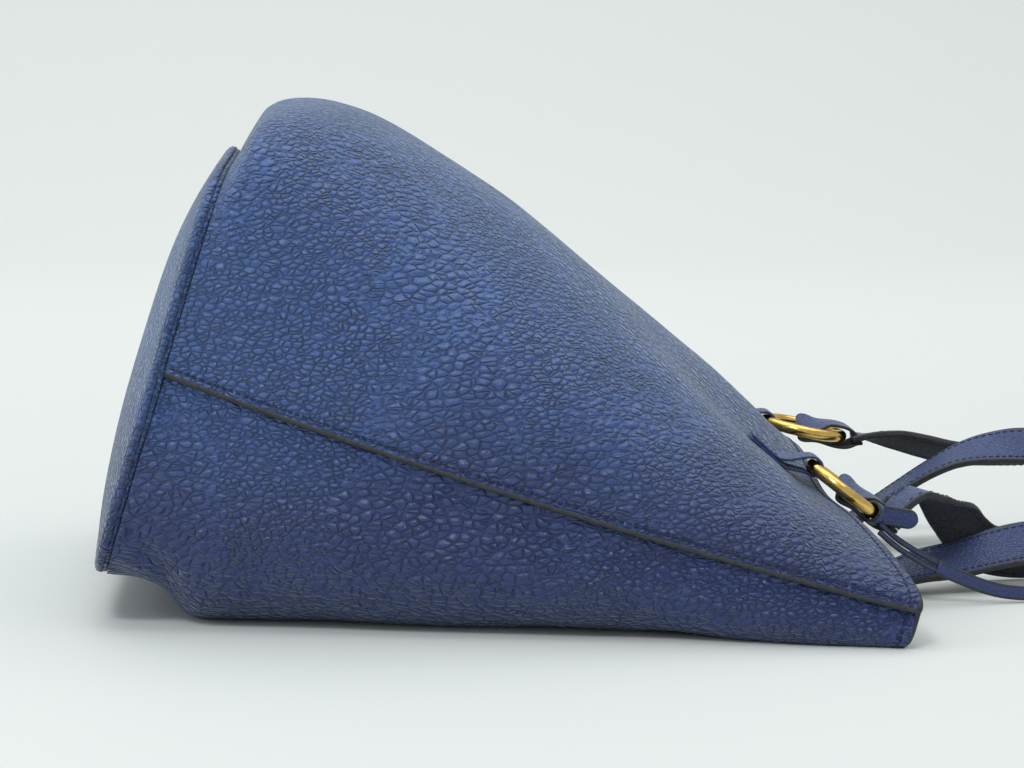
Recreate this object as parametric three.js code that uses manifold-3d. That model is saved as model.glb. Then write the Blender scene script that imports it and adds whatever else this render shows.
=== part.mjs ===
// Soft leather bucket bag with four ring tabs, four metal rings, two strap handles
// and a small leather tag, lying on its back panel as it rests on a table.
//
// Frame, millimetres: +Z up from the table, +X from the base towards the mouth,
// Y across the bag. The origin lies on the table under the middle of the bag.
// The bag is described along its own leaning axes: u runs from the base to the mouth
// along the side seams, v stands square to u, and Y is shared by both.

import * as THREE from 'three';
import { mergeVertices } from 'three/addons/utils/BufferGeometryUtils.js';
import Module from 'manifold-3d';

const wasm = await Module();
wasm.setup();

// ---- Driving dimensions ----------------------------------------------------

const LEAN = THREE.MathUtils.degToRad(16.9);  // slope of the side seams
const SEAM_START = new THREE.Vector2(-150, 100.6);  // X and Z of the seams at the base
const SEAM_LENGTH = 296;
const SEAM_SAG = 4.5;            // how far the seams hang below a straight line
const BASE_HALF_WIDTH = 122;
const MOUTH_HALF_WIDTH = 170;
const MOUTH_SCOOP = 32;        // how far the mouth edge dips at mid-width
const BASE_DEPTH = 88;         // from the side seams to the lower edge of the base
const BASE_BULGE = 8;          // how far the middle of the base stands proud of its rim

const LEATHER = 2.0;           // body leather
const GAP = 0.4;               // clearance between pieces that touch
const LAP_INSET = LEATHER + GAP;
const FRONT_STEPS = 28;        // facets across the front panel
const LONG_STEPS = 22;         // facets from the base to the mouth
const BASE_CROWDING = 1.3;     // how much closer those facets lie near the base
const LAP_ANGLE = Math.PI / FRONT_STEPS;  // how far the back panel runs under the front one
const WELT_RADIUS = 1.1;
const WELT_GAP = 0.5;
const BOARD = 2.5;
const LINING = 0.8;
const LINING_OFFSET = 5.6;
const FACING = 1.4;
const FACING_GAP = 1.0;

const RING_RADIUS = 17.25;     // to the middle of the wire
const WIRE_RADIUS = 2.5;
const TAB = { leather: 1.4, bore: 4.1, width: 12, length: 24 };
const FRONT_TAB_Y = 70;
const BACK_TAB_Y = 60;

const STRAP_WIDTH = 21;
const STRAP_THICKNESS = 3.2;
const LOOP = { width: 18, reach: 21, half: 3.7, leather: 1.5 };  // sewn loop at a strap's end

const TAG_STRAP_WIDTH = 6;
const TAG_LOOP = { bore: 3.2, leather: 1.3, width: 6, angle: 45 };
const TAG = { width: 42, length: 66, corner: 9, thickness: 3.6 };
const SNAP = { radius: 9, height: 2.4, stud: 3.2, studHeight: 1.6 };

// ---- Materials -------------------------------------------------------------

const finish = (color, roughness, metalness = 0) =>
  new THREE.MeshStandardMaterial({ color, roughness, metalness });
const leather = () => finish(0x34507f, 0.55);
const edgeLeather = () => finish(0x2b3442, 0.6);
const strapLeather = () => finish(0x32466e, 0.5);
const cloth = () => finish(0x2a3350, 0.9);
const board = () => finish(0x6d6458, 0.9);
const gold = () => finish(0xd8b055, 0.2, 1);

// ---- Small helpers ---------------------------------------------------------

const { clamp, lerp, smoothstep } = THREE.MathUtils;
const at = (x, y, z) => new THREE.Vector3(x, y, z);

// A smooth curve through [position, value] pairs, read at any position.
function profile(pairs) {
  const curve = new THREE.SplineCurve(pairs.map(([x, y]) => new THREE.Vector2(x, y)));
  const points = curve.getPoints(pairs.length * 12);
  return (x) => {
    const i = points.findIndex((p) => p.x >= x);
    if (i <= 0) return i === 0 ? points[0].y : points.at(-1).y;
    const [a, b] = [points[i - 1], points[i]];
    return lerp(a.y, b.y, (x - a.x) / (b.x - a.x));
  };
}

// A closed geometry from points and triangles, turned to face outwards.
function solid(points, triangles) {
  let volume = 0;
  for (const [a, b, c] of triangles) {
    volume += points[a].dot(points[b].clone().cross(points[c]));
  }
  const index = triangles.flatMap(([a, b, c]) => (volume < 0 ? [a, c, b] : [a, b, c]));
  const geometry = new THREE.BufferGeometry().setFromPoints(points);
  geometry.setIndex(index);
  geometry.computeVertexNormals();
  return geometry;
}

// Stacks closed rings of points into a solid with a fan over each end.
function loft(rings) {
  const n = rings[0].length;
  const points = rings.flat();
  const triangles = [];
  for (let r = 0; r + 1 < rings.length; r++) {
    for (let i = 0; i < n; i++) {
      const [a, b] = [r * n + i, r * n + ((i + 1) % n)];
      triangles.push([a, b, b + n], [a, b + n, a + n]);
    }
  }
  const last = (rings.length - 1) * n;
  for (let i = 1; i + 1 < n; i++) {
    triangles.push([0, i + 1, i], [last, last + i, last + i + 1]);
  }
  return solid(points, triangles);
}

// A sheet of leather between an outer and an inner surface, each a function of (s, t).
function sheet(outer, inner, across, along) {
  const rings = [];
  for (let i = 0; i <= across; i++) {
    const ring = [];
    for (let j = 0; j <= along; j++) ring.push(outer(i / across, j / along));
    for (let j = along; j >= 0; j--) ring.push(inner(i / across, j / along));
    rings.push(ring);
  }
  return stitch(rings, along);
}

// Joins the rings of a sheet; each end closes as a narrow strip between its two edges.
function stitch(rings, along) {
  const n = rings[0].length;
  const points = rings.flat();
  const triangles = [];
  for (let r = 0; r + 1 < rings.length; r++) {
    for (let i = 0; i < n; i++) {
      const [a, b] = [r * n + i, r * n + ((i + 1) % n)];
      triangles.push([a, b, b + n], [a, b + n, a + n]);
    }
  }
  const last = (rings.length - 1) * n;
  for (let j = 0; j < along; j++) {
    const [a, b, c, d] = [j, j + 1, n - 2 - j, n - 1 - j];
    triangles.push([a, c, b], [a, d, c]);
    triangles.push([last + a, last + b, last + c], [last + a, last + c, last + d]);
  }
  return solid(points, triangles);
}

// A domed plate between two surfaces that are functions of (radius, angle).
function plate(outer, inner, rings, around) {
  const points = [outer(0, 0), inner(0, 0)];
  const triangles = [];
  const node = (side, r, k) => 2 + (side * rings + r - 1) * around + (k % around);
  for (const surface of [outer, inner]) {
    for (let r = 1; r <= rings; r++) {
      for (let k = 0; k < around; k++) {
        points.push(surface(r / rings, (k / around) * 2 * Math.PI));
      }
    }
  }
  for (let k = 0; k < around; k++) {
    triangles.push([0, node(0, 1, k + 1), node(0, 1, k)]);
    triangles.push([1, node(1, 1, k), node(1, 1, k + 1)]);
    for (let r = 1; r < rings; r++) {
      const o = [node(0, r, k), node(0, r, k + 1), node(0, r + 1, k + 1), node(0, r + 1, k)];
      const i = [node(1, r, k), node(1, r, k + 1), node(1, r + 1, k + 1), node(1, r + 1, k)];
      triangles.push([o[0], o[1], o[2]], [o[0], o[2], o[3]]);
      triangles.push([i[0], i[2], i[1]], [i[0], i[3], i[2]]);
    }
    const rim = [node(0, rings, k), node(0, rings, k + 1), node(1, rings, k + 1), node(1, rings, k)];
    triangles.push([rim[0], rim[1], rim[2]], [rim[0], rim[2], rim[3]]);
  }
  return solid(points, triangles);
}

const toManifold = (geometry) => {
  const bare = geometry.clone();
  bare.deleteAttribute('normal');
  bare.deleteAttribute('uv');
  const merged = mergeVertices(bare, 1e-4);
  return new wasm.Manifold(new wasm.Mesh({
    numProp: 3,
    vertProperties: new Float32Array(merged.attributes.position.array),
    triVerts: new Uint32Array(merged.index.array),
  }));
};

const fromManifold = (body) => {
  const mesh = body.getMesh();
  const geometry = new THREE.BufferGeometry();
  geometry.setAttribute('position', new THREE.BufferAttribute(mesh.vertProperties, 3));
  geometry.setIndex(new THREE.BufferAttribute(mesh.triVerts, 1));
  geometry.computeVertexNormals();
  return geometry;
};

const join = (a, b) => fromManifold(toManifold(a).add(toManifold(b)));

// Turns and moves a geometry so that its own X, Y and Z run along the given directions.
function placed(geometry, origin, xDir, yDir) {
  const z = xDir.clone().cross(yDir).normalize();
  const y = z.clone().cross(xDir).normalize();
  return geometry.applyMatrix4(
    new THREE.Matrix4().makeBasis(xDir.clone().normalize(), y, z).setPosition(origin),
  );
}

const group = new THREE.Group();
function add(name, geometry, material) {
  const mesh = new THREE.Mesh(geometry, material);
  mesh.name = name;
  group.add(mesh);
}

// ---- Shape of the body -----------------------------------------------------

// Height of the front panel's ridge above the seam axis, from the base to the mouth.
const ridge = profile([
  [0, 76], [3, 81], [5.5, 90.5], [8, 98.5], [10.5, 103.5], [16, 107.5], [25, 110.8],
  [38, 112.5], [55, 111.5], [80, 106], [118, 95], [159, 78], [200, 60], [235, 45],
  [262, 32], [296, 24],
]);
const halfWidth = (u) => lerp(BASE_HALF_WIDTH, MOUTH_HALF_WIDTH, clamp(u / SEAM_LENGTH, 0, 1));
const seamSag = (u) => -SEAM_SAG * Math.sin(Math.PI * clamp(u / SEAM_LENGTH, 0, 1)) ** 0.8;
const toTable = (u) => SEAM_START.y / Math.cos(LEAN) - u * Math.tan(LEAN) + 5;
const depth = (u) => lerp(BASE_DEPTH, toTable(u), smoothstep(u, 20, 44));

// Squareness of the sections: boxy at the base and round towards the mouth.
const MOUTH_FRONT_POWER = 2.5;
const MOUTH_BACK_POWER = 7;
const frontPower = (u) => MOUTH_FRONT_POWER + 0.1 * (1 - smoothstep(u, 150, 262))
  + 4.5 * Math.exp(-u / 25);
const backPower = (u) => lerp(4.6, MOUTH_BACK_POWER, smoothstep(u, 190, 285))
  + 2.4 * Math.exp(-u / 25);

// Near the mouth the front panel falls away from its middle like a tent, and the tabs
// draw it down where they are sewn on.
const SLOPE = 0.2;
const TAB_DIP = { depth: 0.16, at: 0.42, width: 0.2 };
const tent = (u, y) => {
  const share = Math.abs(y) / halfWidth(u);
  const aside = Math.hypot(share, 0.14) - 0.14;
  const dip = TAB_DIP.depth * Math.exp(-(((share - TAB_DIP.at) / TAB_DIP.width) ** 2));
  return 1 - (SLOPE * aside + dip) * smoothstep(u, 150, 262);
};

function bagPoint(u, y, v) {
  return at(
    SEAM_START.x + u * Math.cos(LEAN) + v * Math.sin(LEAN),
    y,
    SEAM_START.y - u * Math.sin(LEAN) + v * Math.cos(LEAN),
  );
}

// The back panel rides over the back rings near the mouth.
function ringLift(u, y) {
  const RISE = 11.8;
  return RISE * smoothstep(u, 198, 230) * (1 - smoothstep(Math.abs(y), 96, 150));
}

// Outline of the section at u: angle 0 is the near side seam, 90 degrees the ridge.
function sectionPoint(u, angle, shrink = 1) {
  const front = Math.sin(angle) >= 0;
  const power = front ? frontPower(u) : backPower(u);
  const [c, s] = [Math.abs(Math.cos(angle)), Math.abs(Math.sin(angle))];
  const reach = shrink / (c ** power + s ** power) ** (1 / power);
  const sag = seamSag(u);
  const y = -Math.sign(Math.cos(angle)) * c * reach * halfWidth(u);
  const v = front
    ? sag + (ridge(u) - sag) * s * reach * tent(u, y)
    : sag - (depth(u) + sag) * s * reach;
  const point = bagPoint(u, y, v);
  if (!front && point.z < ringLift(u, y)) point.z = ringLift(u, y);
  return point;
}

const baseEdge = (angle) => 1.6 + 2 * Math.max(Math.sin(angle), 0) ** 4;

// The mouth edge dips towards mid-width; the back panel keeps squarer corners.
function mouthEdge(angle) {
  const front = Math.sin(angle) >= 0;
  const power = front ? MOUTH_FRONT_POWER : MOUTH_BACK_POWER;
  const [c, s] = [Math.abs(Math.cos(angle)), Math.abs(Math.sin(angle))];
  const share = c / (c ** power + s ** power) ** (1 / power);
  return SEAM_LENGTH - MOUTH_SCOOP * (1 - share ** (front ? 2.2 : 1.6));
}

// Point of the outer skin; s runs 0 to 1 from the base to the mouth.
const skin = (s, angle) => sectionPoint(lerp(baseEdge(angle), mouthEdge(angle), s), angle);

function skinNormal(s, angle) {
  const E = 0.004;
  const du = skin(Math.min(s + E, 1), angle).sub(skin(Math.max(s - E, 0), angle));
  const da = skin(s, angle + E).sub(skin(s, angle - E));
  return du.cross(da).normalize();
}

// The skin moved inwards.
function inside(s, angle, offset) {
  return skin(s, angle).addScaledVector(skinNormal(s, angle), -offset);
}

// How far the back panel sits under the front one; it eases out away from the seams.
function lapInset(angle) {
  const fromSeam = Math.min(Math.abs(angle - Math.PI), Math.abs(angle - 2 * Math.PI));
  const inLap = angle < Math.PI || angle > 2 * Math.PI;
  return LAP_INSET * (inLap ? 1 : 1 - smoothstep(fromSeam, 0.06, 0.45));
}

// A piece of the skin between two stations and two angles, inset and thickness in millimetres.
// A crowding above 1 packs its facets closer together towards the base.
function skinPiece({ from, to, start, end, inset, thickness, across, along, crowding = 1 }) {
  const surface = (extra) => (i, j) => {
    const angle = lerp(start, end, j);
    return inside(lerp(from, to, i ** crowding), angle, inset(angle) + extra);
  };
  return sheet(surface(0), surface(thickness), across, along);
}

// ---- Body pieces -----------------------------------------------------------

const HALF = Math.PI;
const FULL = 2 * Math.PI;

add('front_panel', skinPiece({
  from: 0, to: 1, start: 0, end: HALF, inset: () => 0, thickness: LEATHER,
  across: LONG_STEPS, along: FRONT_STEPS, crowding: BASE_CROWDING,
}), leather());

add('back_panel', skinPiece({
  from: 0, to: 1, start: HALF - LAP_ANGLE, end: FULL + LAP_ANGLE, inset: lapInset,
  thickness: LEATHER, across: LONG_STEPS, along: FRONT_STEPS + 2, crowding: BASE_CROWDING,
}), leather());

// The base is a domed oval plate; radius 1 is its rim.
const BASE_RIM = -2 * (WELT_RADIUS + WELT_GAP);
function basePoint(radius, angle, lift) {
  const rim = sectionPoint(baseEdge(angle), angle, radius);
  const middle = bagPoint(0, 0, 0);
  const bulge = BASE_BULGE * (1 - radius ** 2.4);
  const axis = bagPoint(1, 0, 0).sub(middle);
  return rim.addScaledVector(axis, lerp(-baseEdge(angle), 0, radius ** 2))
    .addScaledVector(axis, BASE_RIM - LEATHER - bulge + lift);
}

// A base layer reaching out to the given share of the rim, between two heights.
const baseLayer = (reach, low, high) => plate(
  (r, a) => basePoint(r * reach, a, low),
  (r, a) => basePoint(r * reach, a, high),
  4, 36,
);

const BOARD_START = LEATHER + GAP;
const BASE_LINING_START = BOARD_START + BOARD + GAP;
add('base_panel', baseLayer(1, 0, LEATHER), leather());
add('base_board', baseLayer(0.9, BOARD_START, BOARD_START + BOARD), board());
add('base_lining', baseLayer(0.92, BASE_LINING_START, BASE_LINING_START + LINING), cloth());

// The welt is the thin piped seam between the base and the two panels.
function weltRing() {
  const SIDES = 6;
  const STEPS = 44;
  const points = [];
  const triangles = [];
  const axis = bagPoint(1, 0, 0).sub(bagPoint(0, 0, 0));
  for (let k = 0; k < STEPS; k++) {
    const angle = (k / STEPS) * FULL;
    const outwards = skinNormal(0, angle);
    outwards.addScaledVector(axis, -outwards.dot(axis)).normalize();
    const centre = sectionPoint(baseEdge(angle), angle)
      .addScaledVector(outwards, -WELT_RADIUS)
      .addScaledVector(axis, -WELT_RADIUS - WELT_GAP);
    for (let i = 0; i < SIDES; i++) {
      const turn = (i / SIDES) * FULL;
      const r = WELT_RADIUS * 0.95;
      points.push(centre.clone().addScaledVector(axis, r * Math.cos(turn))
        .addScaledVector(outwards, r * Math.sin(turn)));
      const [a, b] = [k * SIDES + i, k * SIDES + ((i + 1) % SIDES)];
      const next = ((k + 1) % STEPS) * SIDES;
      const [c, d] = [next + i, next + ((i + 1) % SIDES)];
      triangles.push([a, b, d], [a, d, c]);
    }
  }
  return solid(points, triangles);
}
add('base_welt', weltRing(), edgeLeather());

// Lining and facings leave the side seams free by a few degrees.
const SEAM_FREE = 0.05;
const LINING_FROM = 0.04;
const LINING_TO = 0.84;
const FACING_FROM = 0.875;
const FACING_TO = 0.984;
const linings = [['lining_front', 0, HALF], ['lining_back', HALF, FULL]];
for (const [name, start, end] of linings) {
  add(name, skinPiece({
    from: LINING_FROM, to: LINING_TO, start: start + SEAM_FREE, end: end - SEAM_FREE,
    inset: () => LINING_OFFSET, thickness: LINING, across: 10, along: 28,
  }), cloth());
}
add('facing_front', skinPiece({
  from: FACING_FROM, to: FACING_TO, start: 2 * LAP_ANGLE, end: HALF - 2 * LAP_ANGLE,
  inset: () => LEATHER + FACING_GAP, thickness: FACING, across: 2, along: FRONT_STEPS - 4,
}), leather());
add('facing_back', skinPiece({
  from: FACING_FROM, to: FACING_TO, start: HALF + LAP_ANGLE, end: FULL - LAP_ANGLE,
  inset: (angle) => LEATHER + FACING_GAP + lapInset(angle), thickness: FACING,
  across: 2, along: FRONT_STEPS - 2,
}), leather());

// Magnetic snap: a stud half on the front facing and a socket half on the back one.
function snapHalf(angle, withStud) {
  const S = 0.93;
  const lift = LEATHER + FACING_GAP + FACING + 1;
  const normal = skinNormal(S, angle).negate();
  const disc = new THREE.CylinderGeometry(SNAP.radius, SNAP.radius, SNAP.height, 20);
  disc.translate(0, SNAP.height / 2, 0);
  let geometry = disc;
  if (withStud) {
    const stud = new THREE.CylinderGeometry(SNAP.stud, SNAP.stud, SNAP.studHeight, 14);
    geometry = join(disc, stud.translate(0, SNAP.height + SNAP.studHeight / 2 - 0.01, 0));
  }
  return placed(geometry, inside(S, angle, lift), at(1, 0, 0).cross(normal).cross(normal), normal);
}
add('snap_stud', snapHalf(HALF / 2, true), gold());
add('snap_socket', snapHalf(1.5 * HALF, false), gold());

// ---- Rings and their tabs --------------------------------------------------

const across = at(0, 1, 0);

// Every ring hangs from the wire point held in its tab and reaches out along its slope.
const outwards = (degrees) => {
  const slope = THREE.MathUtils.degToRad(degrees);
  return at(Math.cos(slope), 0, Math.sin(slope));
};

// The skin station that lies at the given u and y on the front panel.
function frontStation(u, y) {
  let angle = y < 0 ? 1 : HALF - 1;
  let s = 0.9;
  for (let k = 0; k < 60; k++) {
    const here = sectionPoint(u, angle);
    angle += (here.y < y ? 1 : -1) * 0.4 * 0.85 ** k;
    s = (u - baseEdge(angle)) / (mouthEdge(angle) - baseEdge(angle));
  }
  return [s, angle];
}

const TAB_U = 257;
const TAB_OUTER = TAB.bore + TAB.leather;
const TAB_GAP = 1.7;
const frontHinge = (y) => {
  const [s, angle] = frontStation(TAB_U, y);
  const normal = skinNormal(s, angle).setY(0).normalize();
  return skin(s, angle).addScaledVector(normal, TAB_OUTER + TAB_GAP);
};
const BACK_HINGE_X = 88.4;
const TABLE_GAP = 0.3;
const backHinge = (y) => at(BACK_HINGE_X, y, TAB_OUTER + TABLE_GAP);

const rings = [
  { name: 'front_near', hinge: frontHinge(-FRONT_TAB_Y), slope: -37 },
  { name: 'front_far', hinge: frontHinge(FRONT_TAB_Y), slope: -12 },
  { name: 'back_near', hinge: backHinge(-BACK_TAB_Y), slope: 0 },
  { name: 'back_far', hinge: backHinge(BACK_TAB_Y), slope: 0 },
];

for (const ring of rings) {
  ring.dir = outwards(ring.slope);
  ring.centre = ring.hinge.clone().addScaledVector(ring.dir, RING_RADIUS);
  ring.outer = ring.hinge.clone().addScaledVector(ring.dir, 2 * RING_RADIUS);
  const torus = new THREE.TorusGeometry(RING_RADIUS, WIRE_RADIUS, 8, 32);
  add(`ring_${ring.name}`, placed(torus, ring.centre, ring.dir, across), gold());
}

// A band of leather rolled into a short tube along its own Y.
function rolledBand(bore, outer, width, sides) {
  const corner = (radius, end) => new THREE.Vector2(radius, (end * width) / 2);
  return new THREE.LatheGeometry(
    [corner(bore, -1), corner(outer, -1), corner(outer, 1), corner(bore, 1), corner(bore, -1)],
    sides,
  );
}

// A tab is a leather tongue sewn to the panel, rolled round the ring's wire at its end.
function tab(ring) {
  const TONGUE = 2 * TAB.leather;
  const SINK = 1.8;    // how far the tongue stands back from the band's outermost line
  const MARGIN = 0.2;  // from the bore to where the tongue starts inside the wall
  const tongue = new THREE.BoxGeometry(TAB.length, TAB.width, TONGUE);
  const front = ring.name.startsWith('front');
  const slope = front ? panelSlope(ring.hinge.y) : outwards(180);
  const toPanel = across.clone().cross(slope).multiplyScalar(front ? -1 : 1);
  const start = ring.hinge.clone()
    .addScaledVector(toPanel, TAB_OUTER - TONGUE / 2 - SINK)
    .addScaledVector(slope, TAB.length / 2 + TAB.bore + MARGIN);
  placed(tongue, start, slope, across);
  const band = rolledBand(TAB.bore, TAB_OUTER, TAB.width, 20);
  return join(band.translate(ring.hinge.x, ring.hinge.y, ring.hinge.z), tongue);
}

// Direction up the front panel, away from the mouth, square to Y.
function panelSlope(y) {
  const [s, angle] = frontStation(TAB_U - 18, y);
  const [s0, angle0] = frontStation(TAB_U, y);
  return skin(s, angle).sub(skin(s0, angle0)).setY(0).normalize();
}

for (const ring of rings) add(`tab_${ring.name}`, tab(ring), strapLeather());

// ---- Handles ---------------------------------------------------------------

// Each route point is [x, y, z, roll]: the middle of the strap, and how far its width has
// rolled from lying across the bag. The two ends are the sewn loops on the rings.
const FRONT_ROUTE = [
  [143, -67, 38, 10], [150, -65, 42.5, 2], [157, -59, 41, -8], [164, -51.5, 36, -26],
  [171, -42.5, 28.8, -48], [178, -35, 20.4, -68], [186, -30.5, 14.2, -84], [196, -28, 11.6, -90],
  [208, -27, 11, -90], [235, -25, 11, -90], [285, -34, 11, -90], [335, -40, 11, -90],
  [372, -33, 11, -90], [393, 0, 11, -90], [384, 29, 13, -90], [364, 43, 20.5, -90],
  [338, 53, 25.5, -92], [310, 61, 27.5, -104], [285, 67, 31, -125], [262, 70, 34, -150],
  [230, 72, 35.5, -190], [205, 71, 38.2, -208], [190, 70, 40, -212], [178, 70, 43, -211],
  [166, 69.5, 46, -206], [155, 69, 47.5, -192],
];
const BACK_ROUTE = [
  [131, -60, 6.2, 0], [141, -57, 7.2, 12], [156, -53, 10.8, 27], [170, -52, 13, 33],
  [185, -50, 16.5, 38], [203, -46.5, 19, 44], [235, -45, 17, 62], [280, -50, 12.5, 84],
  [330, -56, 11.3, 90], [380, -55, 11.3, 90], [418, -36, 11.3, 90], [430, 0, 11.3, 90],
  [421, 34, 11.4, 92], [394, 50, 11.3, 105], [364, 60.5, 9.8, 140], [334, 57, 5.2, 170],
  [302, 50, 11, 182], [274, 44.5, 25, 200], [246, 43, 38, 214], [222, 44, 46, 222],
  [202, 45, 45, 208], [188, 45.5, 41.5, 192], [176, 46.5, 35.5, 184], [164, 48.5, 27.5, 181],
  [152, 52, 18.5, 180], [141, 56, 10.5, 180], [131, 60, 6.3, 180],
];
const ROUTE_STEPS = 66;

// A flat strap along a route, square in section, its width turned by the roll.
function strap(route, width, thickness, steps) {
  const middles = route.map(([x, y, z]) => at(x, y, z));
  const line = new THREE.CatmullRomCurve3(middles, false, 'centripetal');
  const sections = [];
  for (let k = 0; k <= steps; k++) {
    const t = k / steps;
    const i = Math.min(Math.floor(t * (route.length - 1)), route.length - 2);
    const f = t * (route.length - 1) - i;
    const roll = THREE.MathUtils.degToRad(lerp(route[i][3], route[i + 1][3], f));
    const along = line.getTangent(t);
    const side = at(0, Math.cos(roll), Math.sin(roll));
    side.addScaledVector(along, -side.dot(along)).normalize();
    const up = along.clone().cross(side);
    const middle = line.getPoint(t);
    const corner = (a, b) => middle.clone()
      .addScaledVector(side, (a * width) / 2).addScaledVector(up, (b * thickness) / 2);
    sections.push([corner(-1, -1), corner(1, -1), corner(1, 1), corner(-1, 1)]);
  }
  return loft(sections);
}

// The sewn loop at a strap's end: a long eye whose outer end holds the ring's wire.
function eye(ring, y) {
  const OUTER = LOOP.half + LOOP.leather;
  const eyeShape = (half) => {
    const shape = new THREE.Shape();
    shape.moveTo(0, -half);
    shape.absarc(0.3, 0, half, -Math.PI / 2, Math.PI / 2);
    shape.lineTo(-LOOP.reach + OUTER, half);
    shape.absarc(-LOOP.reach + OUTER, 0, half, Math.PI / 2, 1.5 * Math.PI);
    return shape;
  };
  const shape = eyeShape(OUTER);
  shape.holes.push(eyeShape(LOOP.half));
  const body = new THREE.ExtrudeGeometry(shape, {
    depth: LOOP.width, bevelEnabled: false, curveSegments: 6,
  });
  body.translate(0, 0, -LOOP.width / 2);
  const up = ring.dir.clone().cross(across);
  return placed(body, ring.outer.clone().setY(y), ring.dir, up);
}

// Distance from the wire to the middle of the eye's outer leather.
const EYE_END = 0.3 + LOOP.half + LOOP.leather / 2;

function handle(route, near, far, nearY, farY) {
  const end = (ring, y) => {
    const p = ring.outer.clone().setY(y).addScaledVector(ring.dir, EYE_END);
    return [p.x, p.y, p.z];
  };
  const lastRoll = Math.sign(route.at(-1)[3]) * 180;
  const full = [[...end(near, nearY), route[0][3]], ...route, [...end(far, farY), lastRoll]];
  const body = strap(full, STRAP_WIDTH, STRAP_THICKNESS, ROUTE_STEPS);
  return join(join(body, eye(near, nearY)), eye(far, farY));
}

const [FN, FF, BN, BF] = rings;
add('handle_front', handle(FRONT_ROUTE, FN, FF, -FRONT_TAB_Y + 4, FRONT_TAB_Y), strapLeather());
add('handle_back', handle(BACK_ROUTE, BN, BF, -BACK_TAB_Y, BACK_TAB_Y), strapLeather());

// ---- Tag on its thin strap -------------------------------------------------

// The strap's end is rolled round the wire of the near front ring, beside the handle's eye.
const wireAngle = THREE.MathUtils.degToRad(TAG_LOOP.angle);
const radial = FN.dir.clone().multiplyScalar(Math.cos(wireAngle))
  .addScaledVector(across, -Math.sin(wireAngle));
const wireTangent = FN.dir.clone().multiplyScalar(-Math.sin(wireAngle))
  .addScaledVector(across, -Math.cos(wireAngle));
const wirePoint = FN.centre.clone().addScaledVector(radial, RING_RADIUS);

function tagLoop() {
  const { bore, leather: thickness, width } = TAG_LOOP;
  const band = rolledBand(bore, bore + thickness, width, 16);
  placed(band, wirePoint, radial, wireTangent);
  const TONGUE = { length: 17, half: 4, thickness: 2.2, fall: -10, aside: -1 };
  const shape = new THREE.Shape();
  shape.moveTo(0, -TONGUE.half);
  shape.lineTo(TONGUE.length - TONGUE.half, -TONGUE.half);
  shape.absarc(TONGUE.length - TONGUE.half, 0, TONGUE.half, -Math.PI / 2, Math.PI / 2);
  shape.lineTo(0, TONGUE.half);
  const tongue = new THREE.ExtrudeGeometry(shape, {
    depth: TONGUE.thickness, bevelEnabled: false, curveSegments: 5,
  });
  tongue.translate(0, 0, -TONGUE.thickness / 2);
  const forward = outwards(TONGUE.fall);
  const start = wirePoint.clone().addScaledVector(forward, TAG_LOOP.bore + 0.5)
    .addScaledVector(across, TONGUE.aside);
  return join(band, placed(tongue, start, forward, forward.clone().cross(across).negate()));
}
add('tag_loop', tagLoop(), strapLeather());

// The thin strap comes down to the table and runs along it to the tag.
const TAG_ROUTE = [
  [140, -83, 25.5], [146.5, -83, 21.2], [153, -82.5, 17.4], [160, -82, 13.8], [168, -81, 10.2],
  [176, -80, 7], [184, -79, 4.8], [193, -78, 3.7], [205, -78, 3.4], [220, -80, 3.4],
  [236, -84, 3.4], [250, -88.5, 3.4], [262, -93, 3.4], [273, -97.5, 3.4],
].map(([x, y, z]) => at(x, y, z));

function tagStrap() {
  const SIDES = 8;
  const section = new THREE.Shape(Array.from({ length: SIDES }, (_, i) => {
    const turn = ((i + 0.5) / SIDES) * FULL;
    const r = TAG_STRAP_WIDTH / 2;
    return new THREE.Vector2(r * Math.cos(turn), r * Math.sin(turn));
  }));
  const line = new THREE.CatmullRomCurve3(TAG_ROUTE, false, 'centripetal');
  return new THREE.ExtrudeGeometry(section, {
    steps: 26, extrudePath: line, bevelEnabled: false,
  });
}
add('tag_strap', tagStrap(), strapLeather());

function tagLeather() {
  const { width, length, corner, thickness } = TAG;
  const shape = new THREE.Shape();
  const [x, y] = [length, width / 2];
  shape.moveTo(corner, -y);
  shape.lineTo(x - corner, -y);
  shape.absarc(x - corner, -y + corner, corner, -Math.PI / 2, 0);
  shape.absarc(x - corner, y - corner, corner, 0, Math.PI / 2);
  shape.lineTo(corner, y);
  shape.absarc(corner, y - corner, corner, Math.PI / 2, Math.PI);
  shape.absarc(corner, -y + corner, corner, Math.PI, 1.5 * Math.PI);
  const body = new THREE.ExtrudeGeometry(shape, {
    depth: thickness, bevelEnabled: false, curveSegments: 5,
  });
  const [end, before] = [TAG_ROUTE.at(-1), TAG_ROUTE.at(-2)];
  const forward = end.clone().sub(before).setZ(0).normalize();
  const corners = end.clone().addScaledVector(forward, 0.6).setZ(GAP);
  return placed(body, corners, forward, at(0, 0, 1).cross(forward));
}
add('tag_leather', tagLeather(), leather());

export default group;
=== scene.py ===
import math

import bpy
import numpy as np
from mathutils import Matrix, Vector, noise


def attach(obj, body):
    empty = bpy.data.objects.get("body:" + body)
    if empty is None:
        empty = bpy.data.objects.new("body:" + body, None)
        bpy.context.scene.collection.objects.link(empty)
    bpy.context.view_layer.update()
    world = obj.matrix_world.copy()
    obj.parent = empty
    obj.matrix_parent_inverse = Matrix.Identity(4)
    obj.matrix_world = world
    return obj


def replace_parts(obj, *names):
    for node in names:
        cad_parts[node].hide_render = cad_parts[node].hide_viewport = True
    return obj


# Soft leather bucket bag lying on its back. Lengths are in millimetres until a mesh is made;
# +X runs from the base to the mouth, Y across the bag, +Z up from the table. The bag's own
# axes lean: u runs along the side seams from base to mouth, v stands square to u.
MM = 0.001

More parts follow.
